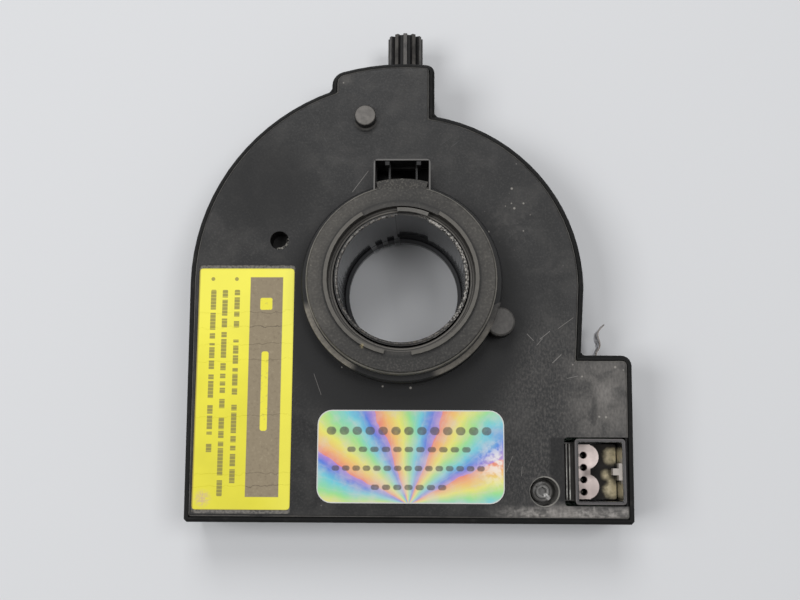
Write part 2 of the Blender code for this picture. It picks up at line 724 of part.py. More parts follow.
def keyed_rim(tube):
    """The keyway down the bore, and the raised wall that stands out behind its upper end."""
    rim_outer = BORE_RADIUS + KEY_SEAT + KEY_RIM
    rim_low = TUBE_TOP - KEY_RIM_DROP
    rim_high = TUBE_TOP + KEY_RIM_RISE
    wall_start = KEYWAY_START + KEY_RIM_INSET
    wall = band(TUBE_RADIUS - TUBE_WALL / 2, rim_outer, wall_start, KEYWAY_END - KEY_RIM_INSET)
    add(tube, prism("key_rim", [wall], rim_low, rim_high, parent=AXLE))
    seat = band(BORE_RADIUS - BITE, BORE_RADIUS + KEY_SEAT, KEYWAY_START, KEYWAY_END)
    cut(tube, prism("key_seat", [seat], rim_low + KEY_RIM_FLOOR, rim_high + BITE, parent=AXLE))
    groove_start = KEYWAY_START + KEYWAY_INSET
    groove = band(BORE_RADIUS - BITE, BORE_RADIUS + KEYWAY_CUT, groove_start, KEYWAY_END - KEYWAY_INSET)
    cut(tube, prism("keyway", [groove], TUBE_TOP - KEYWAY_DEPTH, rim_high + BITE, parent=AXLE))


def rotor():
    lip_low = TUBE_FOOT + LIP_RISE
    lip_radius = BORE_RADIUS - LIP_REACH
    flange_radius = TUBE_RADIUS + FLANGE_REACH
    profile = [
        (TUBE_RADIUS, TUBE_TOP - TUBE_STEP),
        (TUBE_RADIUS, FLANGE_TOP),
        (flange_radius, FLANGE_TOP),
        (flange_radius, FLANGE_LOW),
        (TUBE_RADIUS, FLANGE_LOW),
        (TUBE_RADIUS, TUBE_FOOT),
        (BORE_RADIUS, TUBE_FOOT),
        (BORE_RADIUS, lip_low),
        (lip_radius, lip_low),
        (lip_radius, lip_low + LIP_HEIGHT),
        (BORE_RADIUS, lip_low + LIP_HEIGHT + BITE),
        (BORE_RADIUS, TUBE_TOP - TUBE_EDGE),
        (BORE_RADIUS + TUBE_EDGE, TUBE_TOP),
        (BORE_RADIUS + TUBE_RIM, TUBE_TOP),
        (BORE_RADIUS + TUBE_RIM, TUBE_TOP - TUBE_STEP),
    ]
    tube = turned("rotor", profile, material=ROTOR_PLASTIC, parent=AXLE)
    keyed_rim(tube)
    for index, (start, end) in enumerate(LIP_NOTCHES):
        notch = [band(lip_radius - BITE, BORE_RADIUS - POCKET_INSET / 2, start, end)]
        high = lip_low + LIP_HEIGHT + BITE * 2
        cut(tube, prism(f"lip_notch_{index + 1}", notch, lip_low - BITE, high, parent=AXLE))
    return tube


def encoder_disc():
    loops = [circle(DISC_RADIUS, steps=SLOT_COUNT * 2), circle(HUB_BORE, steps=INNER_STEPS)]
    outer = DISC_RADIUS - SLOT_MARGIN
    inner = outer - SLOT_LENGTH
    half = math.degrees(SLOT_WIDTH / 2 / outer)
    for index in range(SLOT_COUNT):
        first = index * 360 / SLOT_COUNT - half
        last = first + half * 2
        corners = ((outer, first), (outer, last), (inner, last), (inner, first))
        loops.append([polar(radius, angle) for radius, angle in corners])
    index_inner = DISC_RADIUS - INDEX_INSET
    loops.append(band(index_inner, index_inner + INDEX_WIDTH, 0, INDEX_SWEEP))
    return prism("encoder_disc", loops, DISC_LOW, DISC_TOP, CHIP_PLASTIC, AXLE)


def flat_ring(name, outer, low, high, material, parent):
    profile = [(outer, high), (outer, low), (HUB_BORE, low), (HUB_BORE, high)]
    return turned(name, profile, steps=WASHER_STEPS, material=material, parent=parent)


def hub_washers():
    retainer_radius = HUB_BORE + RETAINER_REACH
    flat_ring("disc_retainer", retainer_radius, RETAINER_LOW, RETAINER_TOP, BLACK_PLASTIC, AXLE)
    washer_radius = HUB_BORE + WASHER_REACH
    flat_ring("thrust_washer", washer_radius, WASHER_LOW, WASHER_LOW + WASHER_THICK, SPRING_STEEL, ROOT)


def circuit_board():
    margin = WALL + BOARD_MARGIN
    left = -LEFT_RADIUS + LEFT_LEAN + margin
    right = BLOCK_REACH - RIGHT_LEAN - margin
    low = -BASE_DROP + margin
    top = -HUB_BORE - BOARD_TOP_REACH
    bite = HUB_BORE + BOARD_BITE_REACH
    start = math.degrees(math.asin(top / bite))
    shoulder = min(top, -BLOCK_DROP - WALL) - BOARD_MARGIN
    neck = RIGHT_RADIUS - STEP_LEAN - margin
    outline = [(left, low), (right, low), (right, shoulder), (neck, shoulder), (neck, top)]
    outline += arc(bite, start, -180 - start)
    outline += [(left, top)]
    loops = [outline] + [circle(BOARD_HOLE, centre, HOLE_STEPS) for centre in BOARD_SCREWS]
    loops.append(circle(SUNK_RADIUS + SUNK_WALL + GAP, SUNK_PLACE))
    return prism("circuit_board", loops, BOARD_LOW, BOARD_HIGH, BOARD_GREEN)


def light_barrier(index, angle):
    """A forked light barrier: the disc's edge runs through its slot."""
    slot_middle = (DISC_LOW + DISC_TOP) / 2 - PART_LOW
    slot_low = slot_middle - BARRIER_SLOT / 2
    slot_high = slot_middle + BARRIER_SLOT / 2
    inner = DISC_RADIUS - BARRIER_OVERLAP
    slot_end = DISC_RADIUS + BARRIER_SLOT_REACH
    outer = DISC_RADIUS + BARRIER_REACH
    fork = [
        (inner, 0),
        (outer, 0),
        (outer, BARRIER_HEIGHT),
        (inner, BARRIER_HEIGHT),
        (inner, slot_high),
        (slot_end, slot_high),
        (slot_end, slot_low),
        (inner, slot_low),
    ]
    half = BARRIER_WIDTH / 2
    barrier = prism(f"light_barrier_{index}", [fork], -half, half, CHIP_PLASTIC)
    barrier.rotation_euler = (math.radians(90), 0, math.radians(angle))
    barrier.location = (0, 0, PART_LOW * MM)
    return barrier


def pin_places():
    first = SHELL_MIDDLE - PIN_DROP + PIN_PITCH * (PIN_COUNT - 1) / 2
    return [(SHELL_LEFT + PIN_INSET, first - PIN_PITCH * index) for index in range(PIN_COUNT)]


def shell_key(right):
    """Outline of the coding key, a T lying on its side against the right wall."""
    left = right - KEY_DEPTH
    nub = left - KEY_NUB
    high = SHELL_MIDDLE + KEY_HEIGHT / 2
    low = SHELL_MIDDLE - KEY_HEIGHT / 2
    nub_high = SHELL_MIDDLE + KEY_NUB_HEIGHT / 2
    nub_low = SHELL_MIDDLE - KEY_NUB_HEIGHT / 2
    root = right + SHELL_WALL / 2
    return [
        (root, low),
        (root, high),
        (left, high),
        (left, nub_high),
        (nub, nub_high),
        (nub, nub_low),
        (left, nub_low),
        (left, low),
    ]


def connector_shell():
    outside = rounded_box(SHELL_LEFT, SHELL_RIGHT, SHELL_BOTTOM, SHELL_TOP, SHELL_CORNER)
    shell = prism("connector_shell", [outside], PART_LOW, SHELL_HIGH, BLACK_PLASTIC)
    round_edges(shell, SHELL_EDGE, segments=1)
    inner_left = SHELL_LEFT + SHELL_WALL
    inner_right = SHELL_RIGHT - SHELL_WALL
    inner_low = SHELL_BOTTOM + SHELL_WALL
    inner_top = SHELL_TOP - SHELL_WALL
    floor = PART_LOW + SHELL_FLOOR
    inside = rounded_box(inner_left, inner_right, inner_low, inner_top, SHELL_CORNER / 2)
    cut(shell, prism("shell_hollow", [inside], floor, SHELL_HIGH + BITE))
    add(shell, prism("shell_key", [shell_key(inner_right)], KEY_LOW, SHELL_HIGH - GAP))
    foot_low = (SHELL_LEFT - LATCH_WIDTH, inner_low, PART_LOW + GAP)
    foot_top = FACE - RAIL_DROP - RAIL_HEIGHT
    add(shell, block("shell_foot", foot_low, (inner_left - SHELL_WALL / 2, inner_top, foot_top)))
    for index, offset in enumerate(RAIL_OFFSETS):
        rail = SHELL_LEFT - offset
        rail_low = (rail - RAIL_WIDTH / 2, SHELL_BOTTOM + RAIL_MARGIN, foot_top - RAIL_HEIGHT)
        rail_high = (rail + RAIL_WIDTH / 2, SHELL_TOP - RAIL_MARGIN, FACE - RAIL_DROP)
        add(shell, block(f"latch_rail_{index + 1}", rail_low, rail_high))
    low = PART_LOW - BITE
    for index, centre in enumerate(pin_places()):
        cut(shell, cylinder(f"pin_passage_{index + 1}", PIN_HOLE, low, floor + BITE, centre, HOLE_STEPS))
    return shell


def terminal_block():
    """The pale insert: a low step that fills the socket's foot and a high step with two round lugs."""
    low = PART_LOW + SHELL_FLOOR + GAP
    left = SHELL_LEFT + SHELL_WALL + GAP
    right = SHELL_RIGHT - SHELL_WALL - GAP
    bottom = SHELL_BOTTOM + SHELL_WALL + GAP
    top = SHELL_TOP - SHELL_WALL - GAP
    outline = rounded_box(left, right, bottom, top, SHELL_CORNER / 2)
    foot = prism("terminal_block", [outline], low, KEY_LOW - GAP, BLOCK_PLASTIC)
    step = left + BLOCK_WIDTH
    centre_x = left + LUG_INSET
    sweep = math.degrees(math.acos((step - centre_x) / LUG_RADIUS))
    upper = [(left + POCKET_INSET, bottom + POCKET_INSET), (step, bottom + POCKET_INSET)]
    for side in (-1, 1):
        upper += arc(LUG_RADIUS, -sweep, sweep, (centre_x, SHELL_MIDDLE + side * LUG_SPACING / 2))
    upper += [(step, top - POCKET_INSET), (left + POCKET_INSET, top - POCKET_INSET)]
    add(foot, prism("block_lugs", [upper], KEY_LOW - GAP - BITE, SHELL_HIGH - BLOCK_SUNK))
    for index, centre in enumerate(pin_places()):
        cut(foot, cylinder(f"pin_hole_{index + 1}", PIN_HOLE, low - BITE, SHELL_HIGH, centre, HOLE_STEPS))
    return foot


def terminal_pins():
    half = PIN_SIZE / 2
    high = SHELL_HIGH - BLOCK_SUNK - PIN_SUNK
    for index, (x, y) in enumerate(pin_places()):
        corners = (x - half, y - half, PART_LOW), (x + half, y + half, high)
        block(f"terminal_pin_{index + 1}", *corners, TIN_PLATE, edge=PIN_SIZE / 5)


def ribbed_peg():
    teeth = []
    pitch = 360 / PEG_TEETH
    root = PEG_RADIUS - PEG_TOOTH
    tip_half = pitch * PEG_TIP_SHARE / 2
    root_half = pitch * PEG_ROOT_SHARE / 2
    for index in range(PEG_TEETH):
        middle = 90 + index * pitch
        corners = (
            (root, middle - root_half),
            (PEG_RADIUS, middle - tip_half),
            (PEG_RADIUS, middle + tip_half),
            (root, middle + root_half),
        )
        teeth += [polar(radius, angle) for radius, angle in corners]
    shank_length = WALL + GAP * 2
    peg = prism("ribbed_peg", [teeth], 0, PEG_LENGTH, BLACK_PLASTIC)
    shank = cylinder("peg_shank", PEG_SHANK, -shank_length - PEG_HEAD / 2, PEG_LENGTH / 2)
    head = cylinder("peg_head", PEG_RADIUS, -shank_length - PEG_HEAD, -shank_length)
    turn = math.radians(-90)
    for piece in (peg, shank, head):
        along = piece.location.z
        piece.rotation_euler.x = turn
        piece.location = (PEG_X * MM, PEG_START * MM + along, PEG_Z * MM)
    add(peg, shank, head)
    return peg


def earth_spring():
    """A bent strip on edge, from the board out through the block's upper wall."""
    curve = bpy.data.curves.new("earth_spring_line", "CURVE")
    curve.dimensions = "2D"
    curve.fill_mode = "NONE"
    curve.extrude = SPRING_WIDTH / 2 * MM
    curve.resolution_u = 5
    spline = curve.splines.new("BEZIER")
    spline.bezier_points.add(len(SPRING_ROUTE) - 1)
    for point, (x, y) in zip(spline.bezier_points, SPRING_ROUTE):
        point.co = (x * MM, y * MM, 0)
        point.handle_left_type = "AUTO"
        point.handle_right_type = "AUTO"
    line = bpy.data.objects.new("earth_spring_line", curve)
    CUTTERS.objects.link(line)
    mesh = evaluated_mesh(line)
    bpy.data.objects.remove(line, do_unlink=True)
    spring = place("earth_spring", mesh, SPRING_STEEL)
    spring.location.z = (PART_LOW + SPRING_WIDTH / 2) * MM
    thick = spring.modifiers.new("sheet", "SOLIDIFY")
    thick.thickness = SPRING_THICK * MM
    thick.offset = 0.0
    return spring


def labels():
    low = FACE - RECESS_DEPTH + LABEL_GAP
    paper = rounded_box(LABEL_LEFT, LABEL_RIGHT, LABEL_BOTTOM, LABEL_TOP, LABEL_CORNER)
    prism("yellow_label", [paper], low, low + LABEL_THICK, YELLOW_PAPER)
    foil = rounded_box(FOIL_LEFT, FOIL_LEFT + FOIL_WIDTH, FOIL_BOTTOM, FOIL_BOTTOM + FOIL_LENGTH, FOIL_CORNER)
    foil_low = FACE + LABEL_GAP
    prism("foil_label", [foil], foil_low, foil_low + LABEL_THICK, SILVER_FOIL)


def screw_mesh(name, length):
    """A round headed screw with a six sided socket. Its head stands on the level zero."""
    profile = [
        (0, SCREW_HEAD_HEIGHT),
        (SCREW_CROWN, SCREW_HEAD_HEIGHT),
        (SCREW_HEAD, SCREW_CHEEK),
        (SCREW_HEAD, 0),
        (SCREW_SHANK, 0),
        (SCREW_SHANK, -length + SCREW_SHANK),
        (0, -length),
    ]
    model = turned(name + "_model", profile, steps=SMALL_STEPS, closed=False)
    low = SCREW_HEAD_HEIGHT - SCREW_SOCKET_DEPTH
    socket = cylinder(name + "_socket", SCREW_SOCKET, low, SCREW_HEAD_HEIGHT + BITE, steps=6)
    cut(model, socket)
    mesh = evaluated_mesh(model)
    for helper in (model, socket):
        bpy.data.objects.remove(helper, do_unlink=True)
    return mesh


def screws():
    mesh = screw_mesh("board_screw", BOARD_HIGH + GAP - FLOOR_TOP)
    for index, (x, y) in enumerate(BOARD_SCREWS):
        screw = place(f"board_screw_{index + 1}", mesh, SCREW_STEEL)
        screw.location = (x * MM, y * MM, PART_LOW * MM)
        screw.rotation_euler.z = math.radians(BOARD_SCREW_TURN * index)
    seat = FACE - SUNK_DEPTH + GAP
    cover_screw = place("cover_screw", screw_mesh("cover_screw", seat - FLOOR_TOP - GAP), SCREW_STEEL)
    cover_screw.location = (SUNK_PLACE[0] * MM, SUNK_PLACE[1] * MM, seat * MM)


def on_board(position):
    """Turns a place measured from the case's left side and base into one from the bore axis."""
    return position[0] - LEFT_RADIUS, position[1] - BASE_DROP


def chip(name, size, position, sides, count):
    """A moulded package with feet on one, two or four sides, in one piece."""
    width, length, height = size
    x, y = on_board(position)
    body = block(
        name,
        (x - width / 2, y - length / 2, PART_LOW + GAP),
        (x + width / 2, y + length / 2, PART_LOW + height),
        CHIP_PLASTIC,
    )
    foot_high = PART_LOW + height / 2
    half = LEAD_WIDTH / 2
    for side in range(sides):
        along_x = side % 2 == 1
        span = width if along_x else length
        inner = (length if along_x else width) / 2 - GAP
        outer = inner + GAP + LEAD_REACH
        sign = 1 if side < 2 else -1
        near, far = sorted((sign * inner, sign * outer))
        for index in range(count):
            offset = (index - (count - 1) / 2) * span * LEAD_SPAN / count
            if along_x:
                low = (x + offset - half, y + near, PART_LOW)
                high = (x + offset + half, y + far, foot_high)
            else:
                low = (x + near, y + offset - half, PART_LOW)
                high = (x + far, y + offset + half, foot_high)
            add(body, block(f"{name}_foot_{side}_{index}", low, high))
    return body


def capacitor():
    high = PART_LOW + CAPACITOR_HEIGHT
    radius = CAPACITOR_RADIUS
    waist = PART_LOW + CAPACITOR_GROOVE
    profile = [
        (0, high),
        (radius - CAPACITOR_EDGE, high),
        (radius, high - CAPACITOR_EDGE),
        (radius, waist + CAPACITOR_EDGE),
        (radius - CAPACITOR_GROOVE_DEPTH, waist),
        (radius, waist - CAPACITOR_EDGE),
        (radius, PART_LOW),
        (0, PART_LOW),
    ]
    can = turned("electrolytic_capacitor", profile, steps=SMALL_STEPS, material=CAN_ALUMINIUM, closed=False)
    x, y = on_board(CAPACITOR_PLACE)
    can.location = (x * MM, y * MM, 0)
    return can


def board_parts():
    for index, angle in enumerate(BARRIER_ANGLES):
        light_barrier(index + 1, angle)
    chip("controller_chip", CHIP_SIZE, CHIP_PLACE, 4, 5)
    chip("amplifier_chip", AMPLIFIER_SIZE, AMPLIFIER_PLACE, 1, 4)
    chip("voltage_regulator", REGULATOR_SIZE, REGULATOR_PLACE, 2, 3)
    width, length, height = RESONATOR_SIZE
    x, y = on_board(RESONATOR_PLACE)
    low = (x - width / 2, y - length / 2, PART_LOW)
    high = (x + width / 2, y + length / 2, PART_LOW + height)
    block("resonator", low, high, BLOCK_PLASTIC, edge=RESONATOR_EDGE)
    capacitor()


def main():
    rear_case()
    front_cover()
    hub_ring()
    rotor()
    encoder_disc()
    hub_washers()
    circuit_board()
    board_parts()
    connector_shell()
    terminal_block()
    terminal_pins()
    ribbed_peg()
    earth_spring()
    labels()
    screws()


main()
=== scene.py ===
"""Looks of a steering angle sensor: moulded case, dusty hub, glossy rotor, socket, labels and what is inside.

The file is laid out as a Blender add-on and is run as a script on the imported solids.
Lengths in the finishes are in millimetres, measured from the bore axis as the front shows it.
"""
import json
import math

import bmesh
import bpy
from bpy.props import FloatProperty, FloatVectorProperty, PointerProperty
from bpy.types import Operator, Panel, PropertyGroup
from mathutils import Matrix, Vector


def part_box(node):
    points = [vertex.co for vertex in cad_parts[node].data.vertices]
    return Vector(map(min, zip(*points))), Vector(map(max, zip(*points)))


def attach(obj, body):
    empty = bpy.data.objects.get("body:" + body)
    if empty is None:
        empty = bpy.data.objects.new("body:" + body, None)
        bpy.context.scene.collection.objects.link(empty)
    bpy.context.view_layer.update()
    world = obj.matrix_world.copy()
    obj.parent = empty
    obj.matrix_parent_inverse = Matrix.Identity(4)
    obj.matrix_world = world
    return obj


bl_info = {
    "name": "Steering angle sensor looks",
    "version": (1, 0, 0),
    "blender": (4, 5, 0),
    "location": "3D View > Sidebar > Sensor",
    "description": "Finishes, small pieces and stage for the packed steering angle sensor",
    "category": "Object",
}

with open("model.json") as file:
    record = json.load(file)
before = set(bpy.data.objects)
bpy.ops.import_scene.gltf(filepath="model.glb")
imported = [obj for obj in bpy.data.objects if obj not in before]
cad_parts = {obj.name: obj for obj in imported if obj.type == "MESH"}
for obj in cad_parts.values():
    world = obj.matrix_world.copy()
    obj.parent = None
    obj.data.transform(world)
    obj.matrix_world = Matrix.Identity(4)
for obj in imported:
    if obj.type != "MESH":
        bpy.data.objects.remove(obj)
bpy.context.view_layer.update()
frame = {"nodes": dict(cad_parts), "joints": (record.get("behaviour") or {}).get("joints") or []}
MM = 0.001
BORE_AXIS = Vector(frame["joints"][0]["pos_m"])

# Places on the front and heights over it, in millimetres from the bore axis.
STAKE = (-8.2, 37.4)
LOBE = (21.6, -8.3)
BLIND_HOLE = (-26.6, 9.9)
SCREW_WELL = (29.8, -43.3)
SOCKET_WELLS = (-35.9, -43.0)
FRAME_RISE = 5.5
HOLE_DEPTH = 4.3
RIDGE_RISE = 0.8
KEY_ARC_RISE = 0.7

# Dark colour for the specks on the hub ring and for its darker lower part.
RING_DARK = (0.010, 0.0095, 0.009)


def numbered(name, count):
    return [f"{name}_{index}" for index in range(1, count + 1)]


PINS = numbered("terminal_pin", 4)


def span(node):
    """Lowest and highest corner of a solid, in millimetres from the bore axis."""
    low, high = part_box(node)
    return (low - BORE_AXIS) / MM, (high - BORE_AXIS) / MM


def top_of(node):
    return span(node)[1].z


def middle_of(node):
    low, high = span(node)
    return (low.x + high.x) / 2, (low.y + high.y) / 2


def round_edges(work, angle):
    """Bevel the edges that turn by more than the angle."""
    sharp = [edge for edge in work.edges if edge.calc_face_angle(0.0) > angle]
    bmesh.ops.bevel(work, geom=sharp, offset=0.12 * MM, segments=2, profile=0.5, affect="EDGES", material=-1)


def add_piece(name, work, material):
    """Turn a bmesh into an object with one material."""
    mesh = bpy.data.meshes.new(name)
    work.to_mesh(mesh)
    work.free()
    mesh.materials.append(material)
    piece = bpy.data.objects.new(name, mesh)
    bpy.context.scene.collection.objects.link(piece)
    return piece


def maths_method(operation, other_first=False):
    """A method of Shade that adds one Math node."""

    def method(self, *others):
        values = (*others, self) if other_first else (self, *others)
        return self.finish.maths(operation, *values)

    return method


class Shade:
    """A number or colour that a finish works out over a surface. Python's operators add its Math nodes."""

    def __init__(self, finish, socket):
        self.finish = finish
        self.socket = socket

    __add__ = maths_method("ADD")
    __radd__ = maths_method("ADD", other_first=True)
    __sub__ = maths_method("SUBTRACT")
    __rsub__ = maths_method("SUBTRACT", other_first=True)
    __mul__ = maths_method("MULTIPLY")
    __rmul__ = maths_method("MULTIPLY", other_first=True)
    __truediv__ = maths_method("DIVIDE")
    __pow__ = maths_method("POWER")
    size = maths_method("ABSOLUTE")
    most = maths_method("MAXIMUM")
    least = maths_method("MINIMUM")
    rest = maths_method("FRACT")

    def rise(self, start, end):
        """0 below start, 1 above end and a soft step between them. It falls where end is the lower one."""
        limits = {"Value": self, "From Min": start, "From Max": end}
        return self.finish.node("MapRange", {"interpolation_type": "SMOOTHSTEP"}, limits)

    def between(self, start, end, soft=0.1):
        return self.rise(start - soft, start) * self.rise(end + soft, end)

    def under(self, limit=0.0, soft=0.06):
        """1 where a distance is below the limit."""
        return self.rise(limit + soft, limit - soft)


class Finish:
    """One material. Layers are painted over its base with masks, and done() links what they came to."""

    def __init__(self, name, colour, roughness, metallic=0.0, coat=0.0, specular=0.5):
        self.material = bpy.data.materials.new(name)
        self.material.use_nodes = True
        self.material.diffuse_color = (*colour, 1.0)
        self.tree = self.material.node_tree
        self.shader = self.tree.nodes["Principled BSDF"]
        self.shader.inputs["Specular IOR Level"].default_value = specular
        self.layers = {
            "Base Color": (*colour, 1.0),
            "Roughness": roughness,
            "Metallic": metallic,
            "Coat Weight": coat,
        }
        self.height = None
        here = self.node("TexCoord", output="Object")
        centre = {"Vector": here, "Location": -BORE_AXIS / MM, "Scale": (1 / MM, 1 / MM, 1 / MM)}
        self.place = self.node("Mapping", {"vector_type": "POINT"}, centre)
        parts = self.add_node("SeparateXYZ", {}, {0: self.place})
        self.x, self.y, self.z = (Shade(self, socket) for socket in parts.outputs)

    def add_node(self, kind, settings, inputs):
        """Add a node: its settings come first, then the values or links of its sockets."""
        item = self.tree.nodes.new("ShaderNode" + kind)
        for name, value in settings.items():
            if name == "stops":
                self.set_stops(item.color_ramp, value)
            else:
                setattr(item, name, value)
        for key, value in inputs.items():
            if isinstance(value, Shade):
                self.tree.links.new(value.socket, item.inputs[key])
            else:
                item.inputs[key].default_value = value
        return item

    def node(self, kind, settings=None, inputs=None, output=0):
        item = self.add_node(kind, settings or {}, inputs or {})
        return Shade(self, item.outputs[output])

    def set_stops(self, ramp, stops):
        while len(ramp.elements) < len(stops):
            ramp.elements.new(1.0)
        for element, (position, colour) in zip(ramp.elements, stops):
            element.position = position
            element.color = (*colour, 1.0)

    def maths(self, operation, *values):
        return self.node("Math", {"operation": operation}, dict(enumerate(values)))

    def noise(self, size, detail=2.0, stretch=1.0, turn=0.0, seed=0.0, warp=0.0):
        """A cloudy value round 0.5. Its features are about size millimetres, longer by stretch along turn."""
        spread = {
            "Vector": self.place,
            "Location": (17.3 * seed, -9.1 * seed, 5.7 * seed),
            "Rotation": (0, 0, math.radians(turn)),
            "Scale": (size * stretch, size, size * max(stretch, 1.0)),
        }
        vector = self.node("Mapping", {"vector_type": "TEXTURE"}, spread)
        texture = {"Vector": vector, "Scale": 1.0, "Detail": detail, "Distortion": warp}
        return self.node("TexNoise", {"noise_dimensions": "3D"}, texture)

    def cloud(self, size, low, high, detail=4.0, **spread):
        """A noise that is 0 where it is below low and 1 where it is above high."""
        return self.noise(size, detail, **spread).rise(low, high)

    def flecks(self, pitch, radius, share, seed=0.0):
        """Small round grains: one in a share of the cells of the given pitch."""
        shift = {"Vector": self.place, "Location": (seed, seed, 0)}
        moved = self.node("Mapping", {"vector_type": "POINT"}, shift)
        cells = self.add_node("TexVoronoi", {"feature": "F1"}, {"Vector": moved, "Scale": 1 / pitch})
        distance = Shade(self, cells.outputs["Distance"])
        chance = self.node("SeparateColor", {}, {0: Shade(self, cells.outputs["Color"])})
        limit = radius / pitch
        return distance.rise(limit, limit * 0.5) * chance.rise(share, share * 0.9)

    def scratches(self, width, length, turn, amount, seed=0.0):
        """Fine lines in one direction. A higher amount leaves fewer of them."""
        return self.cloud(width, amount, amount + 0.03, 1.0, stretch=length / width, turn=turn, seed=seed)

    def disc(self, x, y, radius):
        """Distance outside a round spot, below zero in it."""
        return ((self.x - x) ** 2 + (self.y - y) ** 2) ** 0.5 - radius

    def plate(self, left, bottom, right, top, corner=0.0):
        """Distance outside a rectangle with round corners, below zero in it."""
        across = (self.x - (left + right) / 2).size() - ((right - left) / 2 - corner)
        along = (self.y - (bottom + top) / 2).size() - ((top - bottom) / 2 - corner)
        outside = (across.most(0.0) ** 2 + along.most(0.0) ** 2) ** 0.5
        return outside + across.most(along).least(0.0) - corner

    def stroke(self, start, end, width):
        """A line with soft ends from one point to another."""
        run = Vector(end) - Vector(start)
        x = self.x - start[0]
        y = self.y - start[1]
        share = ((x * run.x + y * run.y) / run.length_squared).most(0.0).least(1.0)
        distance = ((x - share * run.x) ** 2 + (y - share * run.y) ** 2) ** 0.5
        return distance.rise(width, width * 0.3)

    def mix(self, mask, first, second):
        settings = {"data_type": "RGBA", "clamp_factor": True}
        return self.node("Mix", settings, {0: mask, 6: first, 7: second}, 2)

    def paint(self, mask, colour=None, roughness=None, metallic=None, coat=None):
        """Lay a finish over the ones below it, as strongly as the mask says."""
        if colour is not None:
            solid = colour if isinstance(colour, Shade) else (*colour, 1.0)
            self.layers["Base Color"] = self.mix(mask, self.layers["Base Color"], solid)
        for name, value in (("Roughness", roughness), ("Metallic", metallic), ("Coat Weight", coat)):
            if value is not None:
                below = self.layers[name]
                self.layers[name] = below + mask * (value - below)

    def shade_by(self, amount):
        """Darken or lighten the colour by a number that varies round 1."""
        colour = self.layers["Base Color"]
        colour = colour if isinstance(colour, Shade) else colour[:3]
        inputs = {0: colour, "Scale": amount}
        self.layers["Base Color"] = self.node("VectorMath", {"operation": "SCALE"}, inputs)

    def roughen(self, amount):
        self.layers["Roughness"] = self.layers["Roughness"] + amount

    def emboss(self, height):
        """Raise the surface by a height in millimetres."""
        self.height = height if self.height is None else self.height + height

    def done(self, *nodes):
        for name, value in self.layers.items():
            if isinstance(value, Shade):
                self.tree.links.new(value.socket, self.shader.inputs[name])
            else:
                self.shader.inputs[name].default_value = value
        if self.height is not None:
            relief = self.node("Bump", {}, {"Strength": 1.0, "Distance": MM, "Height": self.height}, "Normal")
            self.tree.links.new(relief.socket, self.shader.inputs["Normal"])
        for name in nodes:
            mesh = frame["nodes"][name].data
            mesh.materials.clear()
            mesh.materials.append(self.material)
        return self.material


def tint(name, part, *colour):
    return FloatVectorProperty(
        name=name, description="Colour of " + part, subtype="COLOR", size=3, min=0.0, max=1.0, default=colour
    )


def number(name, description, default, low, high, **kind):
    return FloatProperty(name=name, description=description, default=default, min=low, max=high, **kind)


class SensorCaseLooks(PropertyGroup):
    plastic: tint("Plastic", "the moulded black case", 0.0105, 0.0105, 0.011)
    dust: tint("Dust", "the dust and rubbed places", 0.15, 0.142, 0.132)
    polished: tint("Polished tops", "the rubbed tops of the stake, lobe and collar", 0.15, 0.14, 0.13)
    dust_amount: number("Dust amount", "How strongly dust lies on the case", 0.5, 0, 1, subtype="FACTOR")
    grain: number("Grain", "Width of the grain of the mould, in millimetres", 0.4, 0.1, 2.0)


class SensorHubLooks(PropertyGroup):
    ring: tint("Ring", "the hub ring's plastic", 0.030, 0.028, 0.025)
    dust: tint("Ring dust", "the dust on the ring", 0.125, 0.114, 0.098)
    ridge: tint("Ridge", "the rubbed ridges on the ring", 0.125, 0.116, 0.101)
    tube: tint("Rotor", "the glossy rotor", 0.012, 0.012, 0.014)
    grit: tint("Grit", "the bright grit on the rotor's rim", 0.42, 0.40, 0.37)


class SensorSocketLooks(PropertyGroup):
    shell: tint("Shell rim", "the socket's rim", 0.075, 0.069, 0.071)
    key: tint("Key", "the coding key's top", 0.43, 0.39, 0.355)
    block: tint("Terminal block", "the block that holds the pins", 0.95, 0.81, 0.76)
    cream: tint("Socket floor", "the pale patches in the foot of the socket", 0.66, 0.57, 0.37)
    tin: tint("Pins", "the tinned pins", 0.70, 0.68, 0.62)
    spring: tint("Earth spring", "the bent strip", 0.74, 0.74, 0.77)


class SensorLabelLooks(PropertyGroup):
    yellow: tint("Yellow", "the yellow label", 0.93, 0.85, 0.055)
    panel: tint("Panel", "the dark panel on the yellow label", 0.29, 0.235, 0.155)
    ink: tint("Ink", "the plain lines on the labels", 0.16, 0.13, 0.07)
    foil: tint("Foil", "the foil's border", 0.66, 0.66, 0.64)
    line_width: number("Line width", "Width of the plain lines, in millimetres", 1.15, 0.2, 3.0)


class SensorInsideLooks(PropertyGroup):
    board: tint("Board", "the circuit board's varnish", 0.018, 0.105, 0.045)
    copper: tint("Tracks", "the tracks under the varnish", 0.05, 0.19, 0.07)
    chip: tint("Chips", "the moulded chips", 0.018, 0.018, 0.019)
    steel: tint("Steel", "the washer and screws", 0.56, 0.55, 0.53)
    can: tint("Can", "the capacitor's can", 0.76, 0.77, 0.79)


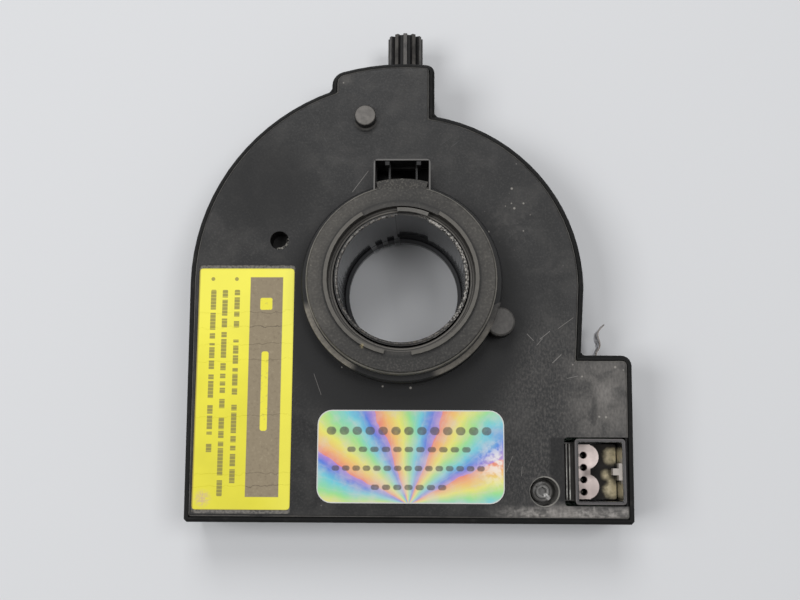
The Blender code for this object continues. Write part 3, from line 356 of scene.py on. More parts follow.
class SensorStageLooks(PropertyGroup):
    floor: tint("Floor", "the plain floor", 0.74, 0.75, 0.77)
    camera_place: FloatVectorProperty(
        name="Camera", description="Where the camera stands", subtype="TRANSLATION", unit="LENGTH",
        size=3, default=(0.00376, -0.04359, 0.24010)
    )
    camera_turn: FloatVectorProperty(
        name="Camera turn", description="Turn of the camera about the three axes", subtype="EULER",
        unit="ROTATION", size=3, default=(math.radians(9.129), math.radians(1.395), math.radians(0.306))
    )
    lens: number("Lens", "Focal length of the camera, in millimetres", 47.25, 10, 200)
    sky: number("Sky", "Strength of the even light from all round", 0.22, 0, 2)
    lamp: number("Soft lamp", "Power of the lamp that gives the sheen", 1.7, 0, 50, unit="POWER")
    side_lamp: number("Side lamp", "Power of the lamp from the left", 2.5, 0, 50, unit="POWER")
    upper_lamp: number("Upper lamp", "Power of the lamp from beyond the peg", 2.0, 0, 50, unit="POWER")


def case_plastic(name, looks, gloss=0.0, specular=0.36):
    """Grained black plastic with thin dust, a few fine scratches and bright grains."""
    case = Finish(name, looks.plastic, 0.42 - gloss, specular=specular)
    case.shade_by(case.noise(13.0, 3.0, seed=1) * 1.3 + 0.25)
    haze = case.cloud(6.0, 0.42, 0.74, seed=2, warp=0.6)
    case.paint(haze * (0.27 * looks.dust_amount), looks.dust, 0.55)
    powder = case.cloud(0.45, 0.45, 0.75, seed=7)
    case.paint(powder * (0.24 * looks.dust_amount), looks.dust, 0.5)
    grains = case.flecks(1.7, 0.17, 0.05, seed=3) + case.flecks(3.7, 0.22, 0.10, seed=5)
    case.paint(grains.least(1.0) * (0.8 * looks.dust_amount), (0.26, 0.245, 0.23), 0.7)
    for turn, seed in ((38, 4), (118, 6)):
        patch = case.cloud(9.0, 0.52, 0.64, 2.0, seed=seed)
        lines = case.scratches(0.10, 6.0, turn, 0.70, seed)
        case.paint(lines * patch * 0.3, (0.13, 0.13, 0.13), 0.38)
    grain = case.noise(looks.grain, 3.0, seed=9)
    case.emboss(grain * 0.02 + case.noise(looks.grain * 5, 2.0, seed=10) * 0.03)
    case.roughen((grain - 0.5) * 0.25)
    return case


class SENSOR_OT_rear_case(Operator):
    """Give the rear case its grained plastic, with painted shade on its rim, rubbed pads and round mould
    marks
    """

    bl_idname = "sensor.rear_case"
    bl_label = "Finish the rear case"

    def execute(self, context):
        looks = context.scene.sensor_case
        case = case_plastic("rear_case_plastic", looks, specular=0.2)
        low, high = span("rear_case")
        # Painted shade: the rim beside the cover is painted dark, as the shade in the gap.
        rim = case.z.rise(high.z - 0.9, high.z - 0.3)
        case.paint(rim * 0.9, (0.0035, 0.0038, 0.0035), 0.6)
        case.paint(rim * case.cloud(2.2, 0.55, 0.75, seed=21) * 0.09, looks.dust, 0.7)
        pads = case.z.rise(low.z + 0.12, low.z + 0.02)
        rubbed = case.cloud(1.2, 0.35, 0.65, 3.0, seed=22)
        case.paint(pads * rubbed * 0.6, (0.10, 0.098, 0.095), 0.32)
        back = case.z.rise(low.z + 1.2, low.z + 0.7)
        for x, y in ((-22, -38), (20, -38), (-33, 6), (-12, 36), (24, 22)):
            mould_mark = case.disc(x, y, 2.0).size().rise(0.22, 0.05)
            case.emboss(mould_mark * back * -0.06)
        case.done("rear_case")
        return {"FINISHED"}


def rub_and_shade_face(cover, looks, face, on_face):
    """Painted sheen over smudges on the block and low on the right, painted shade under the hub, at the upper
    left and by the socket, pale clouds along the lower edge and beside the hub, and painted light at the
    screw well.
    """
    fine = cover.noise(0.45, 4.0, stretch=2.2, turn=90, seed=31) * 1.3 + 0.1
    cloud = cover.cloud(3.4, 0.26, 0.62, seed=32, warp=0.5)
    powder = cover.cloud(0.45, 0.40, 0.72, stretch=1.6, turn=90, seed=30)
    streaks = cover.cloud(0.7, 0.34, 0.66, stretch=1.8, seed=33, warp=0.3) * 0.7 + 0.3
    block = cover.plate(38.0, -30.5, 48.5, -15.5, 3).rise(6.5, -3.5)
    sheen = cover.plate(20.0, -48.0, 48.0, -8.0, 4).rise(7.0, -9.0)
    # Painted shade: the face is darkened under the hub and at the upper left.
    shade_under_hub = cover.disc(0.0, -6.0, 24.0).rise(7.0, -1.0)
    painted_shade = shade_under_hub.most(cover.disc(-30.0, 22.0, 6.0).rise(9.0, -1.0) * 0.7)
    spot = cover.plate(41.2, -25.0, 44.6, -21.0, 1.4).rise(1.6, -1.4)
    dark = cover.stroke((40.4, -24.2), (40.3, -29.2), 0.8)
    strip = cover.plate(16.0, -49.4, 47.0, -46.7, 0.6).rise(1.0, -0.8) * cover.x.rise(15.0, 29.0)
    wiped = cover.plate(30.8, -49.2, 35.7, -46.1, 1.0).rise(0.9, -0.7)
    shade = cover.plate(31.1, -45.2, 34.2, -32.2, 0.4).rise(0.5, -0.3)
    beside = cover.disc(23.5, 14.0, 3.0).rise(5.5, -1.5)
    corner = cover.disc(-12.6, 46.4, 0.2).rise(2.2, 0.0)
    # The first two layers are painted sheen over smudges, on the block and low on the right; the third is
    # painted shade.
    layers = (
        (block * cloud * fine, 0.58, (0.21, 0.195, 0.18), 0.46),
        (sheen * powder, 0.24, (0.20, 0.185, 0.17), 0.42),
        (painted_shade, 1.0, (0.0025, 0.0025, 0.003), 0.55),
        (spot * fine, 0.5, (0.24, 0.225, 0.21), 0.46),
        (dark, 0.45, looks.plastic, 0.5),
        (strip * streaks * fine, 1.0, (0.33, 0.31, 0.29), 0.5),
        (wiped * fine, 0.45, (0.27, 0.25, 0.235), 0.5),
        (shade, 0.75, (0.004, 0.004, 0.0045), 0.62),
        (beside * cover.cloud(1.5, 0.45, 0.7, seed=34), 0.16, looks.dust, 0.6),
        (beside * cover.flecks(0.9, 0.17, 0.12, 12), 0.7, (0.34, 0.31, 0.28), 0.7),
        (corner * fine, 0.35, looks.polished, 0.5),
    )
    for mask, strength, colour, roughness in layers:
        cover.paint(mask * on_face * strength, colour, roughness)
    # Painted highlight round the screw well's mouth, and painted light on the well's floor and wall.
    mouth = face - 0.6
    well_edge = cover.disc(*SCREW_WELL, 2.98).size().rise(0.24, 0.08) * cover.z.rise(mouth, mouth + 0.4)
    cover.paint(well_edge * (cloud * 0.5 + 0.4), (0.24, 0.23, 0.21), 0.4)
    sunk = cover.disc(*SCREW_WELL, 2.85).under() * cover.z.rise(mouth + 0.1, mouth - 0.1)
    cover.paint(sunk * (powder * 0.4 + 0.5), (0.24, 0.23, 0.215), 0.45)


def mark_face(cover, on_face):
    """Short scratches and bright specks that stand out on the face."""
    scratches = (
        ((31.9, -16.5), (33.7, -14.8), 0.13), ((29.3, -11.5), (31.4, -9.8), 0.10),
        ((26.6, -10.4), (27.9, -11.8), 0.09), ((28.6, -12.8), (29.8, -11.4), 0.08),
        ((34.9, -19.8), (37.1, -19.3), 0.08), ((33.2, -9.2), (36.4, -6.9), 0.07),
        ((-10.9, 20.7), (-7.5, 25.4), 0.09), ((39.9, -46.2), (39.8, -49.4), 0.16),
        ((43.1, -46.7), (43.6, -48.6), 0.11), ((-18.6, -19.0), (-17.0, -23.4), 0.06),
        ((21.9, -39.3), (23.2, -36.1), 0.06), ((25.2, -38.2), (25.0, -40.1), 0.06),
    )
    for start, end, width in scratches:
        cover.paint(cover.stroke(start, end, width) * on_face * 0.6, (0.27, 0.255, 0.24), 0.35)
    specks = (
        (23.6, 18.1), (26.2, 18.1), (24.2, 17.0), (26.1, 12.0), (18.6, 11.8), (23.7, 21.4),
        (36.1, -16.9), (38.0, -19.4), (45.0, -17.4), (46.7, -18.0), (41.4, -27.8), (42.8, -27.9),
        (-12.7, -17.6), (-4.0, -21.6), (1.9, -21.9), (-13.2, 45.6), (9.0, 42.0),
    )
    for index, (x, y) in enumerate(specks):
        radius = 0.14 + 0.05 * (index % 3)
        cover.paint(cover.disc(x, y, radius).under(0.0, 0.1) * on_face * 0.75, (0.34, 0.32, 0.29), 0.6)


def wear_and_shade_studs(cover, looks, face, on_face):
    """Rubbed tops of the stake and lobe, the bright ring at the stake's foot, and the collar in painted shade
    with painted light on its lower crescents.
    """
    worn = cover.cloud(0.8, 0.2, 0.8, seed=35) * 0.4 + 0.6
    stake = cover.disc(*STAKE, 3.0).under() * cover.z.rise(face + 2.0, face + 2.15)
    cover.paint(stake * worn, (0.175, 0.163, 0.15), 0.5)
    foot = cover.disc(*STAKE, 2.45).size().rise(0.5, 0.1) * on_face
    cover.paint(foot * cover.y.rise(36.8, 35.8) * 0.4, looks.polished, 0.5)
    frame_top = face + FRAME_RISE
    collar = cover.z.rise(face + 3.9, face + 4.6) * cover.z.rise(frame_top - 0.1, frame_top - 0.25)
    around = cover.maths("ARCTAN2", cover.y, cover.x) * (180 / math.pi)
    lit = around.between(-162.0, -123.0, 7.0) + around.between(-66.0, -29.0, 7.0) * 0.75
    band = cover.disc(0, 0, 0).between(20.1, 21.0, 0.14)
    # Painted shade over the collar's top, then painted light on its lit crescents at the lower left and lower
    # right.
    cover.paint(collar * 0.9, (0.008, 0.008, 0.0085), 0.5)
    cover.paint(collar * band * worn * lit, (0.30, 0.275, 0.235), 0.5)
    lobe = cover.disc(*LOBE, 4.0).under() * cover.z.rise(face + 3.4, face + 3.8)
    cover.paint(lobe * worn * 0.5, looks.polished, 0.5)


def dust_and_highlight_pocket(cover, face):
    """Grit on the collar's sill in the pocket, and painted highlights along the frame's top and the face's
    bevelled edges.
    """
    shelf = cover.plate(-6.0, 18.0, 6.0, 23.4).under() * cover.z.rise(face + 3.0, face + 4.0)
    cover.paint(shelf * 0.85, (0.036, 0.034, 0.031), 0.6)
    cover.paint(shelf * cover.cloud(0.3, 0.45, 0.72, seed=36) * 0.45, (0.20, 0.185, 0.16), 0.6)
    cover.paint(cover.disc(0.0, 22.5, 0.3).under(0.0, 0.15) * shelf, (0.50, 0.48, 0.45), 0.5)
    frame_top = face + FRAME_RISE
    # Painted highlight along the top of the frame.
    cover.paint(cover.z.rise(frame_top - 0.12, frame_top - 0.02) * 0.85, (0.15, 0.145, 0.14), 0.4)
    # Painted highlight along the bevelled edges just under the face, broken up by a cloud.
    edge = cover.z.between(face - 0.34, face - 0.08, 0.06)
    highlight_breakup = cover.cloud(5.0, 0.3, 0.6, 3.0, seed=37) * 0.35 + 0.15
    cover.paint(edge * highlight_breakup, (0.17, 0.16, 0.145), 0.45)


def highlight_recess_edge(cover, face):
    """Painted highlight round the yellow label: a broken pale band on the recess floor between the label and
    the recess edge.
    """
    low, high = span("yellow_label")
    sunk = cover.z.under(face - 0.12, 0.03) * cover.plate(-46, -50, -21, 6).under()
    ledge = cover.plate(low.x, low.y, high.x, high.y, 0.7).rise(0.0, 0.1)
    cover.paint(sunk * ledge * cover.cloud(0.5, 0.35, 0.6, seed=38) * 0.8, (0.22, 0.205, 0.185), 0.7)


def line_hole(cover, floor, x, y):
    """The blind hole: painted shade inside, with a painted highlight as a bright crescent on its floor."""
    inside = cover.disc(x, y, 2.2).under() * cover.z.rise(floor + 4.2, floor + 3.9)
    cover.paint(inside * 0.8, (0.003, 0.003, 0.003), 0.6)
    on_floor = inside * cover.z.rise(floor + 0.1, floor) * cover.cloud(0.5, 0.38, 0.56, 2.0, seed=39)
    # Painted highlight: the crescent of glints near the floor's lower right edge.
    ring = cover.disc(x - 0.66, y + 1.0, 0).between(1.7, 2.2, 0.15)
    lower_right = (cover.x - x - cover.y + y).rise(-0.6, 0.2)
    cover.paint(on_floor * ring * lower_right, (0.75, 0.72, 0.65), 0.4)


class SENSOR_OT_front_cover(Operator):
    """Give the front cover its plastic, with dusty corners, rubbed clouds, painted sheen, shade and
    highlights, marks and worn studs
    """

    bl_idname = "sensor.front_cover"
    bl_label = "Finish the front cover"

    def execute(self, context):
        looks = context.scene.sensor_case
        cover = case_plastic("front_cover_plastic", looks)
        face = top_of("front_cover") - FRAME_RISE
        on_face = cover.z.between(face - 0.1, face + 0.15)
        rub_and_shade_face(cover, looks, face, on_face)
        mark_face(cover, on_face)
        wear_and_shade_studs(cover, looks, face, on_face)
        dust_and_highlight_pocket(cover, face)
        highlight_recess_edge(cover, face)
        line_hole(cover, face - HOLE_DEPTH, *BLIND_HOLE)
        cover.done("front_cover")
        return {"FINISHED"}


class SENSOR_OT_pocket_sill(Operator):
    """Add the collar's worn sill, which reaches into the open pocket above the hub"""

    bl_idname = "sensor.pocket_sill"
    bl_label = "Add the pocket's sill"

    def execute(self, context):
        inner, outer, sweep = 19.6, 22.25, math.radians(29.0)
        high = top_of("front_cover") - 0.36
        low = high - 1.54
        work = bmesh.new()
        corners = ((inner, low), (outer, low), (outer, high), (inner, high))
        profile = work.faces.new([work.verts.new((reach * MM, 0, level * MM)) for reach, level in corners])
        bmesh.ops.spin(
            work, geom=[profile], cent=(0, 0, 0), axis=(0, 0, 1), angle=sweep, steps=14, use_merge=False,
            use_duplicate=False
        )
        bmesh.ops.recalc_face_normals(work, faces=work.faces)
        round_edges(work, 0.8)
        turn = Matrix.Rotation((math.pi - sweep) / 2, 3, "Z")
        bmesh.ops.rotate(work, cent=(0, 0, 0), matrix=turn, verts=work.verts)
        bmesh.ops.translate(work, vec=BORE_AXIS, verts=work.verts)
        sill = add_piece("pocket_sill", work, frame["nodes"]["front_cover"].data.materials[0])
        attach(sill, "housing")
        return {"FINISHED"}


def finish_ring(looks):
    ring = Finish("hub_ring_plastic", looks.ring, 0.5, specular=0.4)
    flat = top_of("hub_ring") - RIDGE_RISE
    reach = ring.disc(0, 0, 0)
    ring.shade_by(ring.noise(2.6, 4.0, seed=41, warp=0.5) * 1.7 + 0.15)
    blotch = ring.noise(3.4, 4.0, seed=40, warp=0.4) * 1.1 + 0.2
    # The ring is painted lighter towards the left and, less, towards the right, mottled, and darker towards
    # the bottom.
    sides = ring.x.rise(2.0, -17.0) * 0.42 + ring.x.rise(6.0, 17.0) * 0.22
    ring.paint(sides * blotch, looks.dust, 0.55)
    ring.paint(ring.y.rise(-5.0, -16.0) * 0.68, RING_DARK, 0.45)
    powder = ring.noise(0.5, 4.0, seed=42)
    ring.paint(powder.rise(0.45, 0.75) * blotch * 0.26, (0.22, 0.205, 0.18), 0.6)
    ring.paint(powder.rise(0.45, 0.2) * 0.4, RING_DARK, 0.5)
    # Painted shade on the flat beside the ridge, with a painted shadow line just outside it.
    by_ridge = reach.rise(18.0, 16.4) * 0.38 + reach.between(16.2, 16.5, 0.14) * 0.4
    ring.paint(by_ridge, (0.008, 0.0075, 0.007), 0.5)
    # Painted highlight along the ring's outer edge, broken up by a cloud.
    worn = ring.cloud(4.0, 0.2, 0.6, 3.0, seed=43) * 0.4 + 0.25
    ring.paint(reach.between(19.6, 19.85, 0.08) * worn, (0.26, 0.245, 0.215), 0.4)
    ridge = ring.z.rise(flat + 0.4, flat + 0.7)
    ring.paint(ridge * (ring.noise(1.0, 3.0, seed=44) * 0.5 + 0.5), looks.ridge, 0.5)
    ledge = reach.rise(16.05, 15.7) * ring.z.rise(flat + 0.1, flat - 0.1)
    lines = reach.between(14.45, 14.6, 0.08) + reach.between(14.95, 15.05, 0.06) * 0.6
    ring.paint(ledge * 0.85, (0.040, 0.037, 0.033), 0.45)
    ring.paint(ledge * lines.least(1.0) * 0.8, (0.20, 0.185, 0.165), 0.4)
    dirt = ring.flecks(2.9, 0.2, 0.12, 45) + ring.flecks(1.9, 0.13, 0.08, 46)
    ring.paint(dirt.least(1.0) * 0.5, (0.30, 0.27, 0.23), 0.7)
    crumb = ring.disc(-7.9, -14.1, 0.35).under(0.0, 0.3)
    ring.paint(crumb * powder.rise(0.35, 0.55) * 0.9, (0.36, 0.30, 0.17), 0.7)
    for turn, seed in ((20, 47), (100, 48)):
        patch = ring.cloud(6.0, 0.5, 0.65, 2.0, seed=seed)
        ring.paint(ring.scratches(0.12, 5.0, turn, 0.69, seed) * patch * 0.3, (0.22, 0.21, 0.19), 0.4)
    ring.emboss(ring.noise(0.4, 3.0, seed=49) * 0.04)
    ring.done("hub_ring")


def finish_rotor(looks):
    tube = Finish("rotor_plastic", looks.tube, 0.14, coat=0.2)
    rim = top_of("rotor") - KEY_ARC_RISE
    reach = tube.disc(0, 0, 0)
    tube.paint(tube.cloud(3.0, 0.4, 0.8, stretch=0.4, seed=51) * 0.25, (0.03, 0.03, 0.031), 0.3)
    top = tube.z.rise(rim - 0.75, rim - 0.6)
    tube.paint(top, (0.014, 0.013, 0.012), 0.35)
    wide = tube.x.rise(0.0, 8.0)
    gritty = top * reach.rise(13.8, 13.6).most(wide)
    bright = (wide * 0.5 + 0.45) * (1.0 - tube.y.rise(-5.0, -12.0) * 0.65)
    tube.paint(gritty * tube.cloud(0.42, 0.44, 0.6, seed=52) * bright, looks.grit, 0.32, metallic=0.2)
    tube.paint(gritty * tube.cloud(0.6, 0.5, 0.7, 3.0, seed=53) * 0.5, (0.12, 0.095, 0.065), 0.7)
    key_arc = tube.z.rise(rim + 0.2, rim + 0.5)
    tube.paint(key_arc * (tube.noise(0.5, 4.0, seed=54) * 0.9 + 0.4), (0.098, 0.092, 0.081), 0.45)
    lip = reach.rise(13.15, 12.95) * tube.z.rise(rim - 8.0, rim - 9.0)
    tube.paint(lip * 0.9, (0.075, 0.076, 0.08), 0.2)
    tube.emboss(tube.noise(0.4, 3.0, seed=55) * top * 0.05 + tube.noise(2.0, 2.0, seed=56) * 0.01)
    tube.done("rotor")


class SENSOR_OT_hub(Operator):
    """Give the hub ring its mottled dusty top, rubbed ridges, painted shade beside them and a painted
    highlight on its edge, and the rotor its gloss and gritty rim
    """

    bl_idname = "sensor.hub"
    bl_label = "Finish the hub and rotor"

    def execute(self, context):
        finish_ring(context.scene.sensor_hub)
        finish_rotor(context.scene.sensor_hub)
        return {"FINISHED"}


def finish_shell(looks, case):
    low, high = span("connector_shell")
    shell = case_plastic("socket_plastic", case, gloss=0.2)
    shell.paint(shell.z.under(high.z - 0.1, 0.1), (0.010, 0.010, 0.0105))
    rubbed = shell.noise(1.6, 3.0, seed=61) * 0.6 + 0.6
    rim = shell.z.rise(high.z - 0.16, high.z - 0.05) * rubbed
    outline = shell.plate(low.x + 1.9, low.y, high.x, high.y, 0.7)
    shell.paint(rim * outline.rise(-0.62, -0.42), looks.shell, 0.42)
    shell.paint(rim * outline.size().rise(0.2, 0.06) * 0.8, (0.24, 0.225, 0.22), 0.4)
    inner = shell.x.rise(high.x - 1.05, high.x - 0.85) * shell.z.between(11.9, high.z - 0.3, 0.1)
    upper, lower = ((shell.y - y).size() for y in SOCKET_WELLS)
    pale = (upper.rise(2.1, 0.5) + lower.rise(2.2, 0.5)).least(1.0)
    shell.paint(inner * pale * (shell.noise(0.9, 3.0, seed=68) * 1.5), looks.cream, 0.35)
    key = shell.z.between(high.z - 2.4, high.z - 0.24, 0.04) * shell.plate(43.9, -41.6, 46.1, -36.4).under()
    shell.paint(key * rubbed, looks.key, 0.4)
    strip = shell.x.rise(low.x + 2.0, low.x + 1.8)
    speckle = shell.cloud(0.5, 0.48, 0.72, stretch=2.0, turn=90, seed=62)
    shell.paint(strip * 0.85, (0.085, 0.080, 0.073), 0.45)
    shell.paint(strip * speckle * 0.3, (0.16, 0.15, 0.135), 0.4)
    # Painted highlights along the two latch rails, broken up and stronger towards the bottom.
    rails = sum(shell.x.between(low.x + start, low.x + start + 0.12, 0.05) for start in (0.22, 0.87))
    broken = shell.cloud(1.1, 0.34, 0.6, 3.0, seed=63, stretch=1.6, turn=90)
    bright = broken * (shell.y.rise(-35.0, -42.0) * 0.7 + 0.3)
    rails = rails.least(1.0) * shell.z.rise(16.6, 17.0)
    shell.paint(rails * bright, (0.40, 0.40, 0.37), 0.3, metallic=0.3)
    shell.done("connector_shell")


def finish_block(looks):
    high = span("terminal_block")[1]
    block = Finish("terminal_block_plastic", looks.block, 0.4, coat=0.1, specular=0.3)
    stain = block.noise(1.4, 4.0, seed=64, warp=0.5)
    block.shade_by(stain * 0.5 + 0.72)
    block.paint(block.y.rise(-38.0, -43.5) * 0.6, (0.36, 0.29, 0.27), 0.45)
    # Painted shade towards the right ends of the lobes and in the cleft between them.
    block.paint(block.x.rise(high.x - 6.3, high.x - 5.2) * 0.3, (0.30, 0.25, 0.24), 0.45)
    waist = (block.y + 39.4).size().rise(1.7, 0.2) * block.x.rise(high.x - 8.2, high.x - 6.8)
    block.paint(waist * 0.75, (0.10, 0.078, 0.07), 0.5)
    # Painted shade with some dirt: the lower step of the pale block is painted near black.
    step = block.z.rise(high.z - 1.4, high.z - 2.2)
    block.paint(step * 0.98, (0.009, 0.008, 0.007), 0.7, coat=0.0)
    step_top = block.z.rise(high.z - 3.3, high.z - 3.15) * step
    ragged = block.noise(1.1, 3.0, seed=65) * 1.2 - 0.6
    upper, lower = SOCKET_WELLS
    spots = (
        (44.8, upper, 1.8, ragged), (44.8, lower, 1.9, ragged),
        (43.5, -39.8, 1.0, ragged * 0.4), (44.6, -41.0, 0.7, 0.0),
    )
    patches = sum((block.disc(x, y, radius) + rough).rise(0.5, -1.0) for x, y, radius, rough in spots)
    mottled = block.noise(0.9, 3.0, seed=66) * 1.7 + 0.05
    block.paint(patches.least(1.0) * step_top * mottled, looks.cream, 0.3)
    for pin in PINS:
        x, y = middle_of(pin)
        # Painted shade in each pin's hole and in the slot beside it.
        slot = block.plate(x - 2.4, y - 0.32, x, y + 0.32, 0.1).under(0.0, 0.12)
        hole = block.disc(x, y, 0.72).under(0.0, 0.12)
        block.paint((slot * 0.6 + hole).least(1.0) * 0.95, (0.012, 0.011, 0.010), 0.3)
    block.emboss(stain * 0.02)
    block.done("terminal_block")


def finish_pins(looks):
    pin = Finish("pin_tin", looks.tin, 0.28, metallic=1.0)
    drawn = pin.noise(0.3, 3.0, stretch=0.2, seed=67)
    pin.shade_by(drawn * 0.4 + 0.8)
    pin.layers["Roughness"] = drawn * 0.2 + 0.18
    top = top_of(PINS[0])
    # Painted shade on the pin tops, deep in their holes.
    pin.paint(pin.z.rise(top - 0.5, top - 0.15) * 0.9, (0.05, 0.045, 0.035), 0.5, metallic=0.3)
    pin.emboss(drawn * 0.01)
    pin.done(*PINS)


class SENSOR_OT_socket(Operator):
    """Finish the socket: rubbed rim and key, latch strip with painted highlights on its rails, pale terminal
    block with painted shade in its holes, cleft and step, and tinned pins with painted shade on their tops
    """

    bl_idname = "sensor.socket"
    bl_label = "Finish the socket"

    def execute(self, context):
        looks = context.scene.sensor_socket
        finish_shell(looks, context.scene.sensor_case)
        finish_block(looks)
        finish_pins(looks)
        return {"FINISHED"}


class SENSOR_OT_peg_and_spring(Operator):
    """Finish the ribbed peg on the upper edge, with painted shade in its grooves and painted highlights on
    its crests, and the bright strip behind the block with painted shade on its right side
    """

    bl_idname = "sensor.peg_and_spring"
    bl_label = "Finish the peg and earth spring"

    def execute(self, context):
        low, high = span("ribbed_peg")
        peg = case_plastic("ribbed_peg_plastic", context.scene.sensor_case)
        reach = ((peg.x - (low.x + high.x) / 2) ** 2 + (peg.z - (low.z + high.z) / 2) ** 2) ** 0.5
        # Painted shade in the grooves between the ribs.
        peg.paint(reach.rise(3.75, 3.3) * 0.8, (0.0045, 0.0045, 0.005), 0.6)
        # Painted highlights on the crests of the ribs, broken up by a cloud.
        worn = peg.cloud(2.4, 0.3, 0.6, 3.0, seed=71) * 0.5 + 0.2
        peg.paint(reach.rise(3.8, 3.98) * worn, (0.11, 0.102, 0.094), 0.42)
        peg.paint(peg.y.rise(high.y - 0.2, high.y - 0.05) * 0.4, (0.12, 0.115, 0.11), 0.45)
        peg.done("ribbed_peg")
        high = span("earth_spring")[1]
        strip = Finish("earth_spring_steel", context.scene.sensor_socket.spring, 0.26, metallic=1.0)
        drawn = strip.noise(0.12, 3.0, seed=72)
        strip.shade_by(drawn * 0.3 + 0.85)
        tarnish = strip.cloud(1.1, 0.42, 0.6, 3.0, seed=73)
        strip.paint(tarnish * 0.7, (0.16, 0.13, 0.10), 0.45, metallic=0.6)
        cut_edge = strip.z.rise(high.z - 0.12, high.z - 0.02)
        strip.paint(cut_edge * 0.85, (0.09, 0.07, 0.05), 0.5, metallic=0.4)
        # Painted shade on the strip's right side.
        bend = strip.x.rise(high.x - 0.5, high.x - 0.2)
        strip.paint(bend * 0.75, (0.05, 0.042, 0.035), 0.5, metallic=0.4)
        strip.emboss(drawn * 0.01)
        strip.done("earth_spring")
        return {"FINISHED"}


def print_panel(film, looks, low, high):
    """The dark panel with a square and a bar in it, and the creases that cross it, with painted shade along
    them.
    """
    left, right = low.x + 11.1, low.x + 18.1
    middle = (left + right) / 2
    panel = film.plate(left, low.y + 2.6, right, high.y - 1.9).under(0.0, 0.08)
    mottle = film.noise(0.6, 4.0, seed=82)
    film.paint(panel, looks.panel, 0.5)
    film.paint(panel * mottle.rise(0.5, 0.2) * 0.4, (0.15, 0.115, 0.075), 0.5)
    film.paint(panel * mottle.rise(0.55, 0.8) * 0.4, (0.46, 0.39, 0.27), 0.5)
    square = film.plate(middle - 1.3, high.y - 9.0, middle + 1.3, high.y - 6.4, 0.4).under()
    bar = film.plate(middle - 0.75, low.y + 16.3, middle + 0.75, low.y + 33.1, 0.5).under()
    worn = mottle.rise(0.3, 0.45) * 0.25 + 0.7
    film.paint((square + bar).least(1.0) * worn, looks.yellow, 0.45)
    wave = (film.noise(2.2, 3.0, seed=88) - 0.5) * 2.2 + film.x * 0.03
    creases = (
        (-8.0, 0.6), (-5.0, 0.35), (-11.6, 0.4), (-41.5, 0.5), (-15.0, 0.25), (-27.0, 0.25), (-39.0, 0.3),
    )
    for level, amount in creases:
        crease = (film.y - level - wave).size().rise(0.09, 0.02)
        # Painted shade along the crease.
        film.paint(crease * panel * amount, (0.07, 0.055, 0.04), 0.6)
        film.emboss(crease * -0.03)


def print_lines(film, looks, low, high):
    """Three plain broken lines and two round spots."""
    half = looks.line_width / 2
    for index, (across, start) in enumerate(((8.3, 4.9), (5.7, 2.7), (3.2, 9.9))):
        middle = low.x + across
        line = film.plate(middle - half, low.y + start, middle + half, low.y + 46.4, half * 0.5)
        gaps = film.cloud(1.3, 0.40, 0.44, 0.0, seed=83 + index, stretch=60.0)
        strokes = (film.y * 1.35 + 0.3 * index).rest().between(0.12, 0.86, 0.08)
        film.paint(line.under() * gaps * (strokes * 0.35 + 0.4), looks.ink, 0.45)
    for across in (8.1, 3.0):
        film.paint(film.disc(low.x + across, high.y - 2.3, 0.42).under() * 0.7, looks.ink, 0.45)


class SENSOR_OT_yellow_label(Operator):
    """Print the yellow label: dark panel, plain broken lines, creases and a stain"""

    bl_idname = "sensor.yellow_label"
    bl_label = "Print the yellow label"

    def execute(self, context):
        looks = context.scene.sensor_labels
        low, high = span("yellow_label")
        film = Finish("yellow_label_film", looks.yellow, 0.45, specular=0.3)
        film.shade_by(film.noise(9.0, 3.0, seed=81) * 0.24 + film.y.rise(low.y, high.y) * 0.14 + 0.74)
        # The label is painted paler towards the top and towards the right.
        paler_top_and_right = film.y.rise(low.y + 22.0, high.y) * 0.35 + film.x.rise(low.x + 12.0, high.x) * 0.25
        film.paint(paler_top_and_right, (1.0, 0.96, 0.19))
        edge = film.plate(low.x, low.y, high.x, high.y, 0.7)
        film.paint(edge.rise(-0.4, 0.0) * 0.3, (0.60, 0.50, 0.06))
        film.paint(film.x.rise(low.x + 0.35, low.x + 0.1) * 0.6, (0.20, 0.12, 0.05), 0.6)
        print_panel(film, looks, low, high)
        print_lines(film, looks, low, high)
        stain = film.disc(low.x + 2.2, low.y + 2.3, 1.0).rise(1.3, -0.6)
        film.paint(stain * film.cloud(0.5, 0.32, 0.58, seed=89) * 0.8, (0.66, 0.47, 0.30), 0.6)
        film.emboss(film.noise(0.55, 3.0, seed=82) * 0.015)
        film.done("yellow_label")
        return {"FINISHED"}


def print_dashes(foil, low):
    """Rows of plain dashes. A row is its start, end and level, its count and half its height."""
    rows = (
        (1.6, 36.8, 14.95, 13, 0.85), (6.0, 32.4, 11.1, 11, 0.55),
        (2.8, 35.3, 7.2, 15, 0.55), (11.0, 27.3, 3.3, 7, 0.55),
    )
    x = foil.x - low.x
    for index, (start, end, level, count, half) in enumerate(rows):
        pitch = (end - start) / count
        across = ((((x - start) / pitch).rest() - 0.5) * pitch).size()
        past = (across - (pitch * 0.37 - half)).most(0.0)
        dash = (past ** 2 + (foil.y - low.y - level) ** 2) ** 0.5
        worn = foil.noise(0.8, 3.0, seed=96 + index) * 0.4 + 0.55
        row = x.between(start, end, 0.05)
        foil.paint(dash.under(half, 0.12) * row * worn, (0.085, 0.075, 0.065), 0.35)


